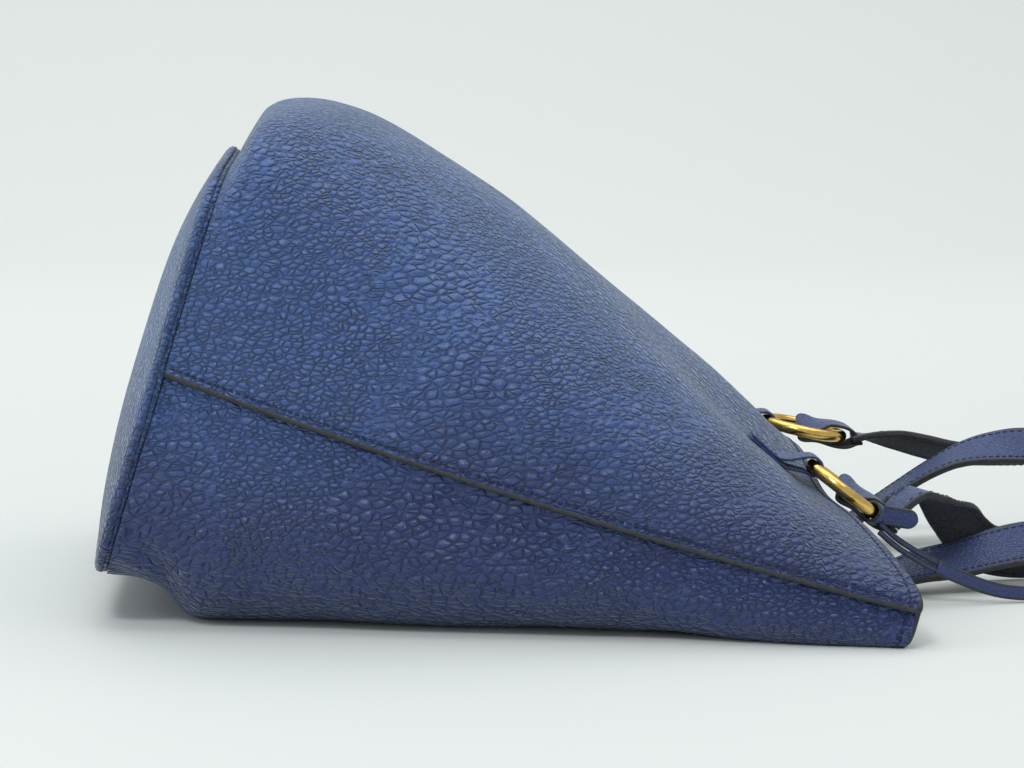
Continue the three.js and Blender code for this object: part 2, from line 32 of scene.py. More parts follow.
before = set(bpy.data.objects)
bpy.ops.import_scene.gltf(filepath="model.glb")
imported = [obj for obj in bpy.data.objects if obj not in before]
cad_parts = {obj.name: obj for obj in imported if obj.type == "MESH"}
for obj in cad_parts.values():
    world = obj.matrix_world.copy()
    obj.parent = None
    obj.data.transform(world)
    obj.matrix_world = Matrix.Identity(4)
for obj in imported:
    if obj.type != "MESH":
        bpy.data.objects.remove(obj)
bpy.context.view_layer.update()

# ---- Camera ----------------------------------------------------------------

CAMERA_PLACE = Vector((-0.08173, -1.33066, 0.24096))
CAMERA_AIM = Vector((0.05369, 0.99138, -0.11951))
CAMERA_LENS, SENSOR_WIDTH = 112.15, 36.0

camera = bpy.data.objects.new("camera", bpy.data.cameras.new("camera"))
camera.data.lens = CAMERA_LENS
camera.data.sensor_width = SENSOR_WIDTH
camera.location = CAMERA_PLACE
camera.rotation_mode = "QUATERNION"
camera.rotation_quaternion = CAMERA_AIM.to_track_quat("-Z", "Y")
bpy.context.scene.collection.objects.link(camera)
bpy.context.scene.camera = camera
bpy.context.scene.view_settings.view_transform = "Standard"

# ---- Shader helpers --------------------------------------------------------


def colour(r, g, b):
    """A linear colour from display values of 0 to 255."""
    def linear(c):
        c /= 255
        return c / 12.92 if c <= 0.04045 else ((c + 0.055) / 1.055) ** 2.4
    return (linear(r), linear(g), linear(b), 1.0)


class Shader:
    """Builds a material's node tree."""

    def __init__(self, name):
        self.material = bpy.data.materials.new(name)
        self.material.use_nodes = True
        self.tree = self.material.node_tree
        self.bsdf = self.tree.nodes["Principled BSDF"]
        self.place = self.node("ShaderNodeTexCoord").outputs["Object"]

    def node(self, kind, **settings):
        made = self.tree.nodes.new(kind)
        for key, value in settings.items():
            setattr(made, key, value)
        return made

    def feed(self, socket, value):
        if isinstance(value, bpy.types.NodeSocket):
            self.tree.links.new(value, socket)
        else:
            socket.default_value = value

    def math(self, operation, a, b=0.0, clamp=False):
        made = self.node("ShaderNodeMath", operation=operation, use_clamp=clamp)
        self.feed(made.inputs[0], a)
        self.feed(made.inputs[1], b)
        return made.outputs[0]

    def ramp(self, value, low, high, out_low=0.0, out_high=1.0):
        made = self.node("ShaderNodeMapRange", interpolation_type="SMOOTHSTEP")
        for key, number in (("Value", value), ("From Min", low), ("From Max", high),
                            ("To Min", out_low), ("To Max", out_high)):
            self.feed(made.inputs[key], number)
        return made.outputs["Result"]

    def mix(self, factor, a, b, data_type="RGBA", first=6, result=2):
        """Two colours mixed. first and result are the sockets' places in the node."""
        made = self.node("ShaderNodeMix", data_type=data_type)
        self.feed(made.inputs["Factor"], factor)
        self.feed(made.inputs[first], a)
        self.feed(made.inputs[first + 1], b)
        return made.outputs[result]

    def blend(self, factor, a, b):
        """Two numbers mixed."""
        return self.mix(factor, a, b, "FLOAT", 2, 0)

    def noise(self, scale, detail=2.0, rough=0.5, place=None):
        made = self.node("ShaderNodeTexNoise")
        self.feed(made.inputs["Vector"], self.place if place is None else place)
        self.feed(made.inputs["Scale"], scale)
        self.feed(made.inputs["Detail"], detail)
        self.feed(made.inputs["Roughness"], rough)
        return made

    def vector(self, operation, a, b, second=1):
        made = self.node("ShaderNodeVectorMath", operation=operation)
        self.feed(made.inputs[0], a)
        self.feed(made.inputs[second], b)
        return made.outputs[0]

    def warped(self, scale, amount):
        """The surface point pushed about by noise, so that cell patterns look grown."""
        push = self.vector("SUBTRACT", self.noise(scale, 1.0).outputs["Color"], (0.5, 0.5, 0.5))
        return self.vector("ADD", self.place, self.vector("SCALE", push, amount, "Scale"))

    def stretched(self, place, turn, scale):
        made = self.node("ShaderNodeMapping")
        self.feed(made.inputs["Vector"], place)
        made.inputs["Rotation"].default_value = turn
        made.inputs["Scale"].default_value = scale
        return made.outputs[0]

    def cells(self, size, place, feature="DISTANCE_TO_EDGE"):
        made = self.node("ShaderNodeTexVoronoi", feature=feature)
        self.feed(made.inputs["Vector"], place)
        made.inputs["Scale"].default_value = 1 / size
        return made.outputs["Distance"]

    def bump(self, height, distance, strength=1.0):
        made = self.node("ShaderNodeBump")
        made.inputs["Strength"].default_value = strength
        made.inputs["Distance"].default_value = distance
        self.feed(made.inputs["Height"], height)
        self.feed(self.bsdf.inputs["Normal"], made.outputs[0])

    def surface(self, base, roughness, specular=0.5, metallic=0.0):
        self.feed(self.bsdf.inputs["Base Color"], base)
        self.feed(self.bsdf.inputs["Roughness"], roughness)
        self.bsdf.inputs["Specular IOR Level"].default_value = specular
        self.bsdf.inputs["Metallic"].default_value = metallic
        return self.material


# ---- Materials -------------------------------------------------------------


def grained_leather(name, painted_light_tone, low, groove, cell, depth, roughness):
    """Tumbled leather: rounded pebbles parted by thin dark lines, with longer drawn creases,
    painted lighter high up and with painted shade low down.
    """
    s = Shader(name)
    place = s.warped(140.0, cell * 0.7)
    drawn = s.stretched(place, (0.0, -0.6, 0.0), (0.72, 1.0, 1.25))
    region = s.ramp(s.noise(14.0, 2.0).outputs["Fac"], 0.45, 0.60)
    edge = s.blend(region, s.cells(cell, drawn), s.cells(cell * 0.74, drawn))
    centre = s.blend(region, s.cells(cell, drawn, "F1"), s.cells(cell * 0.74, drawn, "F1"))
    dome = s.ramp(centre, 0.1, 0.8, 1.0, 0.0)
    long = s.stretched(s.warped(55.0, cell * 1.8), (0.0, -0.7, 0.0), (0.30, 0.8, 1.0))
    crease = s.ramp(s.cells(cell * 1.9, long), 0.0, 0.06)
    there = s.ramp(s.noise(20.0, 2.0).outputs["Fac"], 0.46, 0.62)
    crease = s.math("MAXIMUM", crease, s.math("SUBTRACT", 1.0, there))
    valley = s.math("MULTIPLY", s.ramp(edge, 0.0, 0.16), s.ramp(crease, 0.0, 1.0, 0.5, 1.0))
    pebble = s.math("MULTIPLY", valley, s.math("ADD", s.math("MULTIPLY", dome, 0.6), 0.4))
    swell = s.noise(230.0, 2.0).outputs["Fac"]
    pores = s.noise(2400.0, 2.0, 0.6).outputs["Fac"]
    height = s.math("ADD", s.math("MULTIPLY", pebble, s.ramp(swell, 0.2, 0.8, 0.65, 1.1)),
                    s.math("MULTIPLY", pores, 0.07))
    # Painted light and shade: the colour runs from the painted shade tone (low) low down to the lit
    # tone high up, graded on height above the table with a little noise, standing in for light on
    # the upper faces.
    parts = s.node("ShaderNodeSeparateXYZ")
    s.feed(parts.inputs[0], s.place)
    cloud = s.ramp(s.noise(11.0, 3.0).outputs["Fac"], 0.3, 0.7, -0.02, 0.02)
    level = s.ramp(s.math("ADD", parts.outputs["Z"], cloud), 0.03, 0.13)
    tone = s.mix(level, low, painted_light_tone)
    line = s.math("MULTIPLY", s.ramp(edge, 0.0, 0.09), s.ramp(crease, 0.0, 0.8, 0.3, 1.0))
    faint = s.ramp(s.noise(50.0, 2.0).outputs["Fac"], 0.3, 0.7, 0.5, 0.9)
    tone = s.mix(s.math("MULTIPLY", s.math("SUBTRACT", 1.0, line), faint), tone, groove)
    s.bump(height, depth)
    s.bsdf.inputs["Sheen Weight"].default_value = 0.3
    s.bsdf.inputs["Sheen Roughness"].default_value = 0.35
    s.bsdf.inputs["Sheen Tint"].default_value = (0.75, 0.9, 0.95, 1.0)
    return s.surface(tone, s.ramp(pebble, 0.1, 0.8, roughness + 0.16, roughness), 0.5)


def edge_paint(name, base, dark):
    """Painted cut edge: semi-matt, slightly lumpy, with darker scuffs."""
    s = Shader(name)
    lumps = s.noise(420.0, 3.0, 0.6).outputs["Fac"]
    s.bump(lumps, 0.0003)
    tone = s.mix(s.ramp(lumps, 0.35, 0.62), dark, base)
    return s.surface(tone, s.ramp(lumps, 0.3, 0.7, 0.42, 0.6))


def rough_leather(name, base, dark):
    """Flesh side of a strap: matt, fibrous."""
    s = Shader(name)
    drawn = s.stretched(s.place, (0.0, 0.0, 0.0), (0.4, 1.0, 1.0))
    fibres = s.noise(1500.0, 3.0, 0.7, drawn).outputs["Fac"]
    patch = s.noise(180.0, 2.0).outputs["Fac"]
    s.bump(s.math("ADD", fibres, patch), 0.00035)
    return s.surface(s.mix(s.ramp(fibres, 0.35, 0.65), dark, base), 0.82, 0.25)


def thread(name, base):
    """Waxed thread with a fine twist."""
    s = Shader(name)
    twist = s.noise(2400.0, 1.0).outputs["Fac"]
    s.bump(twist, 0.00012)
    return s.surface(s.mix(twist, tuple(c * 0.7 for c in base[:3]) + (1,), base), 0.6)


def cloth(name, base, dark):
    """Plain woven lining."""
    s = Shader(name)
    weave = s.node("ShaderNodeTexChecker")
    s.feed(weave.inputs["Vector"], s.place)
    weave.inputs["Scale"].default_value = 1400.0
    slub = s.noise(700.0, 2.0).outputs["Fac"]
    height = s.math("ADD", weave.outputs["Fac"], slub)
    s.bump(height, 0.00018)
    s.bsdf.inputs["Sheen Weight"].default_value = 0.25
    return s.surface(s.mix(s.ramp(slub, 0.3, 0.7), dark, base), 0.85, 0.2)


def gold(name):
    """Polished gilt wire with faint hairlines and handling marks."""
    s = Shader(name)
    marks = s.noise(160.0, 4.0, 0.6).outputs["Fac"]
    hair = s.noise(1800.0, 1.0, place=s.stretched(s.place, (0.4, 0.0, 0.5), (1.0, 0.08, 1.0)))
    s.bump(hair.outputs["Fac"], 0.00003)
    base = s.mix(s.ramp(marks, 0.4, 0.75), colour(232, 196, 112), colour(205, 160, 78))
    return s.surface(base, s.ramp(marks, 0.35, 0.8, 0.12, 0.3), 0.5, 1.0)


def board(name):
    """Pressed board with flecks."""
    s = Shader(name)
    fleck = s.noise(900.0, 3.0, 0.7).outputs["Fac"]
    s.bump(fleck, 0.0002)
    return s.surface(s.mix(fleck, colour(96, 88, 76), colour(132, 122, 106)), 0.9, 0.2)


def pale(name, far, near):
    """Matt paper of the floor and backdrop, with painted shade that makes it a little darker near
    the bag than far behind it.
    """
    s = Shader(name)
    mottle = s.noise(3.0, 2.0).outputs["Fac"]
    parts = s.node("ShaderNodeSeparateXYZ")
    s.feed(parts.inputs[0], s.place)
    # Painted shade: the paper darkens from far behind the bag towards the bag and the front,
    # standing in for the light falling off there.
    depth = s.ramp(s.math("ADD", parts.outputs["Y"], s.math("MULTIPLY", mottle, 0.1)), 0.1, 1.9)
    return s.surface(s.mix(depth, near, far), 0.7, 0.25)


# In each, the first colour is the painted light tone of faces high up and the second the painted
# shade tone of faces low down.
BODY = grained_leather("body_leather", colour(56, 88, 146), colour(36, 54, 106),
                       colour(20, 32, 74), 0.0035, 0.0016, 0.32)
STRAP = grained_leather("strap_leather", colour(54, 78, 130), colour(46, 62, 114),
                        colour(34, 46, 86), 0.0016, 0.0004, 0.40)
EDGE = edge_paint("edge_paint", colour(44, 47, 50), colour(28, 30, 33))
FLESH = rough_leather("flesh_side", colour(70, 74, 82), colour(46, 48, 56))
THREAD = thread("thread", colour(26, 34, 68))
CLOTH = cloth("lining_cloth", colour(46, 54, 88), colour(34, 40, 68))
GOLD = gold("ring_metal")
BOARD = board("base_board")

# ---- Mesh helpers ----------------------------------------------------------


def new_object(name, points, faces, materials, indices=None):
    """A smooth-shaded mesh object from points in metres."""
    mesh = bpy.data.meshes.new(name)
    mesh.from_pydata(points, [], faces)
    for material in materials:
        mesh.materials.append(material)
    if indices is not None:
        mesh.polygons.foreach_set("material_index", np.asarray(indices, np.int32))
    mesh.polygons.foreach_set("use_smooth", [True] * len(mesh.polygons))
    mesh.update()
    made = bpy.data.objects.new(name, mesh)
    bpy.context.scene.collection.objects.link(made)
    return made


def place_object(name, points, faces, body, materials, indices=None):
    """A mesh object from points in millimetres, riding a body."""
    faces = faces if isinstance(faces, list) else faces.tolist()
    made = new_object(name, (points * MM).tolist(), faces, materials, indices)
    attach(made, body)
    return made


def loops(rings, capped=True):
    """Quads joining closed rings of points, and the strip that closes each end."""
    count, n = rings.shape[:2]
    index = np.arange(count * n).reshape(count, n)
    after = np.roll(index, -1, axis=1)
    quads = np.stack([index[:-1], after[:-1], after[1:], index[1:]], -1).reshape(-1, 4)
    if not capped:
        return quads
    half = n // 2
    j = np.arange(half - 1)
    ends = []
    for row, flip in ((index[0], True), (index[-1], False)):
        quad = np.stack([row[j], row[j + 1], row[n - 2 - j], row[n - 1 - j]], -1)
        ends.append(quad[:, ::-1] if flip else quad)
    return np.concatenate([quads] + ends)


def outward(points, faces):
    """Faces turned so that a closed form's volume is positive."""
    a, b, c, d = (points[faces[:, i]] for i in range(4))
    volume = np.einsum("ij,ij->i", a, np.cross(b, c) + np.cross(c, d)).sum()
    return faces if volume > 0 else faces[:, ::-1]


def sheet(name, outer, inner, body, materials, edge=0):
    """A closed sheet between two grids of points; its cut edges take material number edge."""
    rings = np.concatenate([outer, inner[:, ::-1]], axis=1)
    rows, n = rings.shape[:2]
    m = n // 2
    points = rings.reshape(-1, 3)
    faces = loops(rings)
    kinds = np.zeros((rows - 1, n), np.int32)
    kinds[:, m - 1] = kinds[:, n - 1] = edge
    ends = np.full(len(faces) - kinds.size, edge)
    return place_object(name, points, outward(points, faces), body, materials,
                        np.concatenate([kinds.ravel(), ends]))


def unit(v):
    return v / np.linalg.norm(v, axis=-1, keepdims=True)


def circle(steps):
    """Angles evenly spaced round a full turn."""
    return np.linspace(0, 2 * math.pi, steps, endpoint=False)


def distance_along(line):
    """Each point's distance from the start, along a line of points."""
    return np.concatenate([[0], np.cumsum(np.linalg.norm(np.diff(line, axis=0), axis=1))])


def spline(points, t):
    """Centripetal Catmull-Rom through the points, at parameters from 0 to 1."""
    p = np.asarray(points, float)
    p = np.concatenate([[2 * p[0] - p[1]], p, [2 * p[-1] - p[-2]]])
    x = np.asarray(t) * (len(p) - 3)
    i = np.minimum(x.astype(int), len(p) - 4)
    w = (x - i)[:, None]
    p0, p1, p2, p3 = p[i], p[i + 1], p[i + 2], p[i + 3]
    d0, d1, d2 = (np.maximum(np.linalg.norm(b - a, axis=1), 1e-6)[:, None] ** 0.5
                  for a, b in ((p0, p1), (p1, p2), (p2, p3)))
    m1 = ((p1 - p0) / d0 - (p2 - p0) / (d0 + d1) + (p2 - p1) / d1) * d1
    m2 = ((p2 - p1) / d1 - (p3 - p1) / (d1 + d2) + (p3 - p2) / d2) * d1
    return (p1 + m1 * w + (-3 * p1 + 3 * p2 - 2 * m1 - m2) * w ** 2
            + (2 * p1 - 2 * p2 + m1 + m2) * w ** 3)


def along(line):
    """Unit tangents of a line of points."""
    return unit(np.gradient(line, axis=0))


def even(line, step):
    """The line's points spaced evenly, about step apart."""
    run = distance_along(line)
    want = np.linspace(0, run[-1], max(int(round(run[-1] / step)), 2) + 1)
    return np.stack([np.interp(want, run, line[:, k]) for k in range(line.shape[1])], 1)


def swept(line, sides, sections):
    """Sections, pairs of (side, up), set square to a line. Returns rings, sides and ups."""
    tangent = along(line)
    side = unit(sides - (sides * tangent).sum(1, keepdims=True) * tangent)
    up = np.cross(tangent, side)
    rings = line[:, None] + sections[..., :1] * side[:, None] + sections[..., 1:] * up[:, None]
    return rings, side, up


def tube(name, line, radius, body, material, sides=10, closed=False):
    """A round bead along a line of points."""
    tangent = along(line)
    if closed:
        tangent = unit(np.roll(line, -1, 0) - np.roll(line, 1, 0))
    guide = np.array([0.0, 0.0, 1.0])
    start = unit(np.cross(tangent[0], guide if abs(tangent[0] @ guide) < 0.9 else guide[[2, 0, 1]]))
    frames = [start]
    for t in tangent[1:]:
        frames.append(unit(frames[-1] - (frames[-1] @ t) * t))
    side = np.array(frames)
    up = np.cross(tangent, side)
    turn = circle(sides)
    radius = np.broadcast_to(radius, len(line))[:, None, None]
    rings = (line[:, None] + radius * (np.cos(turn)[None, :, None] * side[:, None]
                                       + np.sin(turn)[None, :, None] * up[:, None]))
    if closed:
        shift = int(np.argmin(((rings[0][0] - rings[-1]) ** 2).sum(-1)))
        index = np.arange(rings.shape[0] * sides).reshape(-1, sides)
        nxt = np.roll(index, -1, 0)
        nxt[-1] = np.roll(nxt[-1], -shift)
        quads = np.stack([index, np.roll(index, -1, 1), np.roll(nxt, -1, 1), nxt], -1)
        faces = quads.reshape(-1, 4)
    else:
        faces = loops(rings)
    points = rings.reshape(-1, 3)
    return place_object(name, points, outward(points, faces), body, [material])


STITCH_SIDES = 6
STITCH_RISE = np.array([-1.0, -0.8, -0.35, 0.35, 0.8, 1.0])    # along the stitch, in half lengths
STITCH_GIRTH = np.array([0.12, 0.7, 1.0, 1.0, 0.7, 0.12])      # its radius there, as a share


def stitches(name, rows, body, length=2.2, radius=0.36):
    """Short rounded stitches. Each row is (points, normals) spaced one stitch apart."""
    turn = circle(STITCH_SIDES)
    rise, girth = STITCH_RISE[:, None], STITCH_GIRTH[:, None]
    blank = np.stack([np.broadcast_to(rise * length / 2, (len(rise), STITCH_SIDES)),
                      girth * np.cos(turn) * radius, girth * np.sin(turn) * radius], -1)
    blank_points = len(rise) * STITCH_SIDES
    faces = loops(blank)
    all_points, all_faces = [], []
    for points, normals in rows:
        tangent = along(points)
        up = unit(normals - (normals * tangent).sum(1, keepdims=True) * tangent)
        side = np.cross(up, tangent)
        made = (points[:, None, None] + blank[None, ..., :1] * tangent[:, None, None]
                + blank[None, ..., 1:2] * side[:, None, None]
                + blank[None, ..., 2:] * up[:, None, None])
        for one in made:
            all_faces.append(faces + blank_points * len(all_points))
            all_points.append(one.reshape(-1, 3))
    points = np.concatenate(all_points)
    return place_object(name, points, outward(points, np.concatenate(all_faces)),
                        body, [THREAD])


# ---- Shape of the body -----------------------------------------------------

LEAN = math.radians(16.9)
SEAM_START = (-150.0, 100.6)
SEAM_LENGTH = 296.0
BASE_HALF, MOUTH_HALF = 122.0, 170.0
MOUTH_SCOOP = 32.0
BASE_DEPTH, BASE_BULGE = 88.0, 8.0
LEATHER, GAP = 2.0, 0.4
LAP_INSET = LEATHER + GAP
LAP_ANGLE = math.pi / 28
WELT_RADIUS, WELT_GAP = 1.1, 0.5
RIDGE = [(0, 76), (3, 81), (5.5, 90.5), (8, 98.5), (10.5, 103.5), (16, 107.5), (25, 110.8),
         (38, 112.5), (55, 111.5), (80, 106), (118, 95), (159, 78), (200, 60), (235, 45),
         (262, 32), (296, 24)]
SEAM_SAG = 4.5
MOUTH_FRONT_POWER, MOUTH_BACK_POWER = 2.5, 7.0
TENT_SLOPE = 0.2
TAB_DIP, TAB_DIP_AT, TAB_DIP_WIDTH = 0.16, 0.42, 0.2
RING_LIFT = 11.8
UPPER_HALF = 150, 262      # u from which the panels begin to flatten, and where they are flat
LIFT_ALONG, LIFT_ACROSS = (198, 230), (96, 150)    # where the back panel leaves the table
BASE_TUCK = 20, 44         # u over which the base's depth gives way to the table
PAST_TABLE = 5
TENT_ROUND = 0.14
FRONT_BASE_POWER, BACK_BASE_POWER, BASE_POWER_RUN = 4.5, 2.4, 25
MID_BACK_POWER = 4.6
BASE_EDGE, BASE_EDGE_RISE = 1.6, 2
LAP_FADE = 0.06, 0.45
TABLE_CLEARANCE = 0.05


def ridge_table():
    """The ridge's height against u, on a smooth curve through RIDGE."""
    p = np.array(RIDGE, float)
    p = np.concatenate([p[:1], p, p[-1:]])
    x = np.linspace(0, len(p) - 3, 301)
    i = np.minimum(x.astype(int), len(p) - 4)
    w = (x - i)[:, None]
    p0, p1, p2, p3 = p[i], p[i + 1], p[i + 2], p[i + 3]
    v0, v1 = (p2 - p0) / 2, (p3 - p1) / 2
    return ((2 * p1 - 2 * p2 + v0 + v1) * w ** 3 + (-3 * p1 + 3 * p2 - 2 * v0 - v1) * w ** 2
            + v0 * w + p1)


RIDGE_TABLE = ridge_table()


def smooth(x, low, high):
    t = np.clip((x - low) / (high - low), 0, 1)
    return t * t * (3 - 2 * t)


def lerp(a, b, t):
    return a + (b - a) * t


def bag_point(u, y, v):
    return np.stack([SEAM_START[0] + u * math.cos(LEAN) + v * math.sin(LEAN), y,
                     SEAM_START[1] - u * math.sin(LEAN) + v * math.cos(LEAN)], -1)


def section_point(u, angle, shrink=1.0):
    """Outline of the bag at u: angle 0 is the near side seam, 90 degrees the ridge."""
    u, angle, shrink = np.broadcast_arrays(np.asarray(u, float), angle, shrink)
    front = np.sin(angle) >= 0
    flattened = smooth(u, *UPPER_HALF)
    fade = np.exp(-u / BASE_POWER_RUN)
    front_power = MOUTH_FRONT_POWER + 0.1 * (1 - flattened) + FRONT_BASE_POWER * fade
    squared = smooth(u, 190, 285)
    back_power = lerp(MID_BACK_POWER, MOUTH_BACK_POWER, squared) + BACK_BASE_POWER * fade
    power = np.where(front, front_power, back_power)
    c, s = np.abs(np.cos(angle)), np.abs(np.sin(angle))
    reach = shrink / (c ** power + s ** power) ** (1 / power)
    share = np.clip(u / SEAM_LENGTH, 0, 1)
    half = lerp(BASE_HALF, MOUTH_HALF, share)
    sag = -SEAM_SAG * np.sin(math.pi * share) ** 0.8
    ridge = np.interp(u, RIDGE_TABLE[:, 0], RIDGE_TABLE[:, 1])
    to_table = SEAM_START[1] / math.cos(LEAN) - u * math.tan(LEAN) + PAST_TABLE
    depth = lerp(BASE_DEPTH, to_table, smooth(u, *BASE_TUCK))
    y = -np.sign(np.cos(angle)) * c * reach * half
    aside = np.abs(y) / half
    dip = TAB_DIP * np.exp(-((aside - TAB_DIP_AT) / TAB_DIP_WIDTH) ** 2)
    tent = 1 - (TENT_SLOPE * (np.hypot(aside, TENT_ROUND) - TENT_ROUND) + dip) * flattened
    v = np.where(front, sag + (ridge - sag) * s * reach * tent, sag - (depth + sag) * s * reach)
    point = bag_point(u, y, v)
    lift = RING_LIFT * smooth(u, *LIFT_ALONG) * (1 - smooth(np.abs(y), *LIFT_ACROSS))
    point[..., 2] = np.where(front, point[..., 2], np.maximum(point[..., 2], lift))
    return point


def base_edge(angle):
    return BASE_EDGE + BASE_EDGE_RISE * np.maximum(np.sin(angle), 0) ** 4


def mouth_edge(angle):
    front = np.sin(angle) >= 0
    power = np.where(front, MOUTH_FRONT_POWER, MOUTH_BACK_POWER)
    c, s = np.abs(np.cos(angle)), np.abs(np.sin(angle))
    share = c / (c ** power + s ** power) ** (1 / power)
    return SEAM_LENGTH - MOUTH_SCOOP * (1 - share ** np.where(front, 2.2, 1.6))


def skin_u(s, angle):
    return lerp(base_edge(angle), mouth_edge(angle), s)


def skin(s, angle):
    return section_point(skin_u(s, angle), angle)


def skin_normal(s, angle):
    e = 0.004
    du = skin(np.minimum(s + e, 1), angle) - skin(np.maximum(s - e, 0), angle)
    da = skin(s, angle + e) - skin(s, angle - e)
    return unit(np.cross(du, da))


def lap_inset(angle):
    from_seam = np.minimum(np.abs(angle - math.pi), np.abs(angle - 2 * math.pi))
    in_lap = (angle < math.pi) | (angle > 2 * math.pi)
    return LAP_INSET * np.where(in_lap, 1, 1 - smooth(from_seam, *LAP_FADE))


def grid(from_s, to_s, start, end, rows, columns, pack_s=0.7, pack_angle=0.72):
    """Stations and angles of a panel, packed closer together towards its edges."""
    def packed(n, k):
        t = np.linspace(0, 1, n)
        return t - k * np.sin(2 * math.pi * t) / (2 * math.pi)
    return np.meshgrid(lerp(from_s, to_s, packed(rows, pack_s)),
                       lerp(start, end, packed(columns, pack_angle)), indexing="ij")


def field(points, size, seed=0.0):
    """Smooth noise from -1 to 1 whose lumps are about size across."""
    flat = (points / size).reshape(-1, 3) + seed
    return np.array([noise.noise(Vector(p)) for p in flat]).reshape(points.shape[:-1])


def edge_distances(points):
    """Distance of each grid point from the nearer side edge, and from the mouth edge."""
    step = np.linalg.norm(np.diff(points, axis=1), axis=-1)
    run = np.concatenate([np.zeros((len(points), 1)), np.cumsum(step, 1)], 1)
    side = np.minimum(run, run[:, -1:] - run)
    step = np.linalg.norm(np.diff(points, axis=0), axis=-1)
    back = np.concatenate([np.cumsum(step[::-1], 0)[::-1], np.zeros((1, points.shape[1]))], 0)
    return side, back


SEAM_STITCH, MOUTH_STITCH = 2.9, 3.6       # from the cut edge to the stitch line
SEAM_GROOVE, MOUTH_GROOVE, GROOVE_WIDTH = 0.35, -0.3, 0.8
SLACK, SLACK_SIZE = 1.5, 78
RIPPLE, RIPPLE_SIZE = 0.8, 34
PUCKER, CRUSH = 0.75, 0.55
CORNER = np.array([-157.0, -112.0, 25.0])  # lower near corner of the base
PINCH, PINCH_REACH, PINCH_PERIOD = -2.0, 20, 2.4


def relief(points, u, side, mouth, lapped):
    """How far the leather stands off its plain shape: slack, puckers, wrinkles and stitch lines."""
    free = smooth(side, 2, 26) * smooth(mouth, 2, 18) * smooth(u, 0, 14)
    slack = SLACK * field(points, SLACK_SIZE) + RIPPLE * field(points, RIPPLE_SIZE, 9.0)
    drawn = np.stack([u * 0.30 + side * 0.10, side * 0.045, u * 0], -1)
    pucker = PUCKER * field(drawn, 1.0, 3.0) * np.exp(-side / 16) * smooth(side, 1.5, 7)
    crush = np.stack([mouth * 0.22, points[..., 1] * 0.035, mouth * 0], -1)
    crush = CRUSH * field(crush, 1.0, 5.0) * np.exp(-mouth / 30) * smooth(mouth, 5, 12)
    away = points - CORNER
    pinch = np.exp(-(away ** 2).sum(-1) / PINCH_REACH ** 2)
    across = away[..., 0] * 0.75 + away[..., 2] * 0.35 - away[..., 1] * 0.2
    wrinkle = PINCH * pinch * (0.5 + 0.5 * np.sin(across / PINCH_PERIOD)) ** 2
    groove = MOUTH_GROOVE * np.exp(-((mouth - MOUTH_STITCH) / GROOVE_WIDTH) ** 2)
    if not lapped:
        groove = groove - SEAM_GROOVE * np.exp(-((side - SEAM_STITCH) / GROOVE_WIDTH) ** 2)
    return slack * free + pucker + crush + wrinkle * smooth(u, 0, 6) + groove


class Panel:
    """One body panel's outer surface with its relief, and points on it."""

    def __init__(self, start, end, inset, lapped, rows=170, columns=240):
        self.s, self.angle = grid(0, 1, start, end, rows, columns)
        plain = skin(self.s, self.angle)
        self.normal = skin_normal(self.s, self.angle)
        self.side, self.mouth = edge_distances(plain)
        self.u = skin_u(self.s, self.angle)
        self.inset = inset(self.angle)
        lift = relief(plain, self.u, self.side, self.mouth, lapped)
        self.outer = plain + self.normal * (lift - self.inset)[..., None]
        self.inner = self.outer - self.normal * LEATHER
        self.outer[..., 2] = np.maximum(self.outer[..., 2], TABLE_CLEARANCE)


FRONT = Panel(0.0, math.pi, lambda a: 0 * a, lapped=False)
BACK = Panel(math.pi - LAP_ANGLE, 2 * math.pi + LAP_ANGLE, lap_inset, lapped=True)

for name, panel in (("front", FRONT), ("back", BACK)):
    made = sheet(f"leather_{name}", panel.outer, panel.inner, "bag",
                 [BODY, EDGE], edge=1)
    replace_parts(made, f"{name}_panel")

# ---- Base and welt ---------------------------------------------------------

AXIS = unit(bag_point(1.0, 0.0, 0.0) - bag_point(0.0, 0.0, 0.0))
BASE_RIM = -2 * (WELT_RADIUS + WELT_GAP)
BASE_FOLD = 1.1        # how far the rim of the base turns in towards the piping


def base_point(radius, angle, lift):
    rim = section_point(base_edge(angle), angle, radius)
    bulge = BASE_BULGE * (1 - radius ** 2.4)
    folded = BASE_FOLD * smooth(radius, 0.982, 1.0)
    run = lerp(-base_edge(angle), 0, radius ** 2) + BASE_RIM - LEATHER - bulge + lift + folded
    return rim + AXIS * run[..., None]


def base_plate():
    radius, angle = np.meshgrid(np.linspace(0.01, 1, 70) ** 0.8, circle(220), indexing="ij")
    outer = base_point(radius, angle, 0.0 * radius)
    slack = 0.9 * field(outer, 60, 4.0) * smooth(1 - radius, 0, 0.2)
    outer = outer + AXIS * slack[..., None]
    inner = outer + AXIS * LEATHER
    rings = np.concatenate([outer, inner[::-1]])
    faces = loops(rings, capped=False)
    n = rings.shape[1]
    last = (len(rings) - 1) * n
    points = np.concatenate([rings.reshape(-1, 3), [outer[0].mean(0)], [inner[0].mean(0)]])
    k = np.arange(n)
    hub = len(points) - 2
    caps = np.concatenate([np.stack([np.full(n, hub), (k + 1) % n, k], -1),
                           np.stack([np.full(n, hub + 1), last + k, last + (k + 1) % n], -1)])
    quads = outward(points, faces)
    if quads[0, 0] != faces[0, 0]:
        caps = caps[:, ::-1]
    made = place_object("leather_base", points, quads.tolist() + caps.tolist(), "bag",
                        [BODY])
    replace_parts(made, "base_panel")


base_plate()

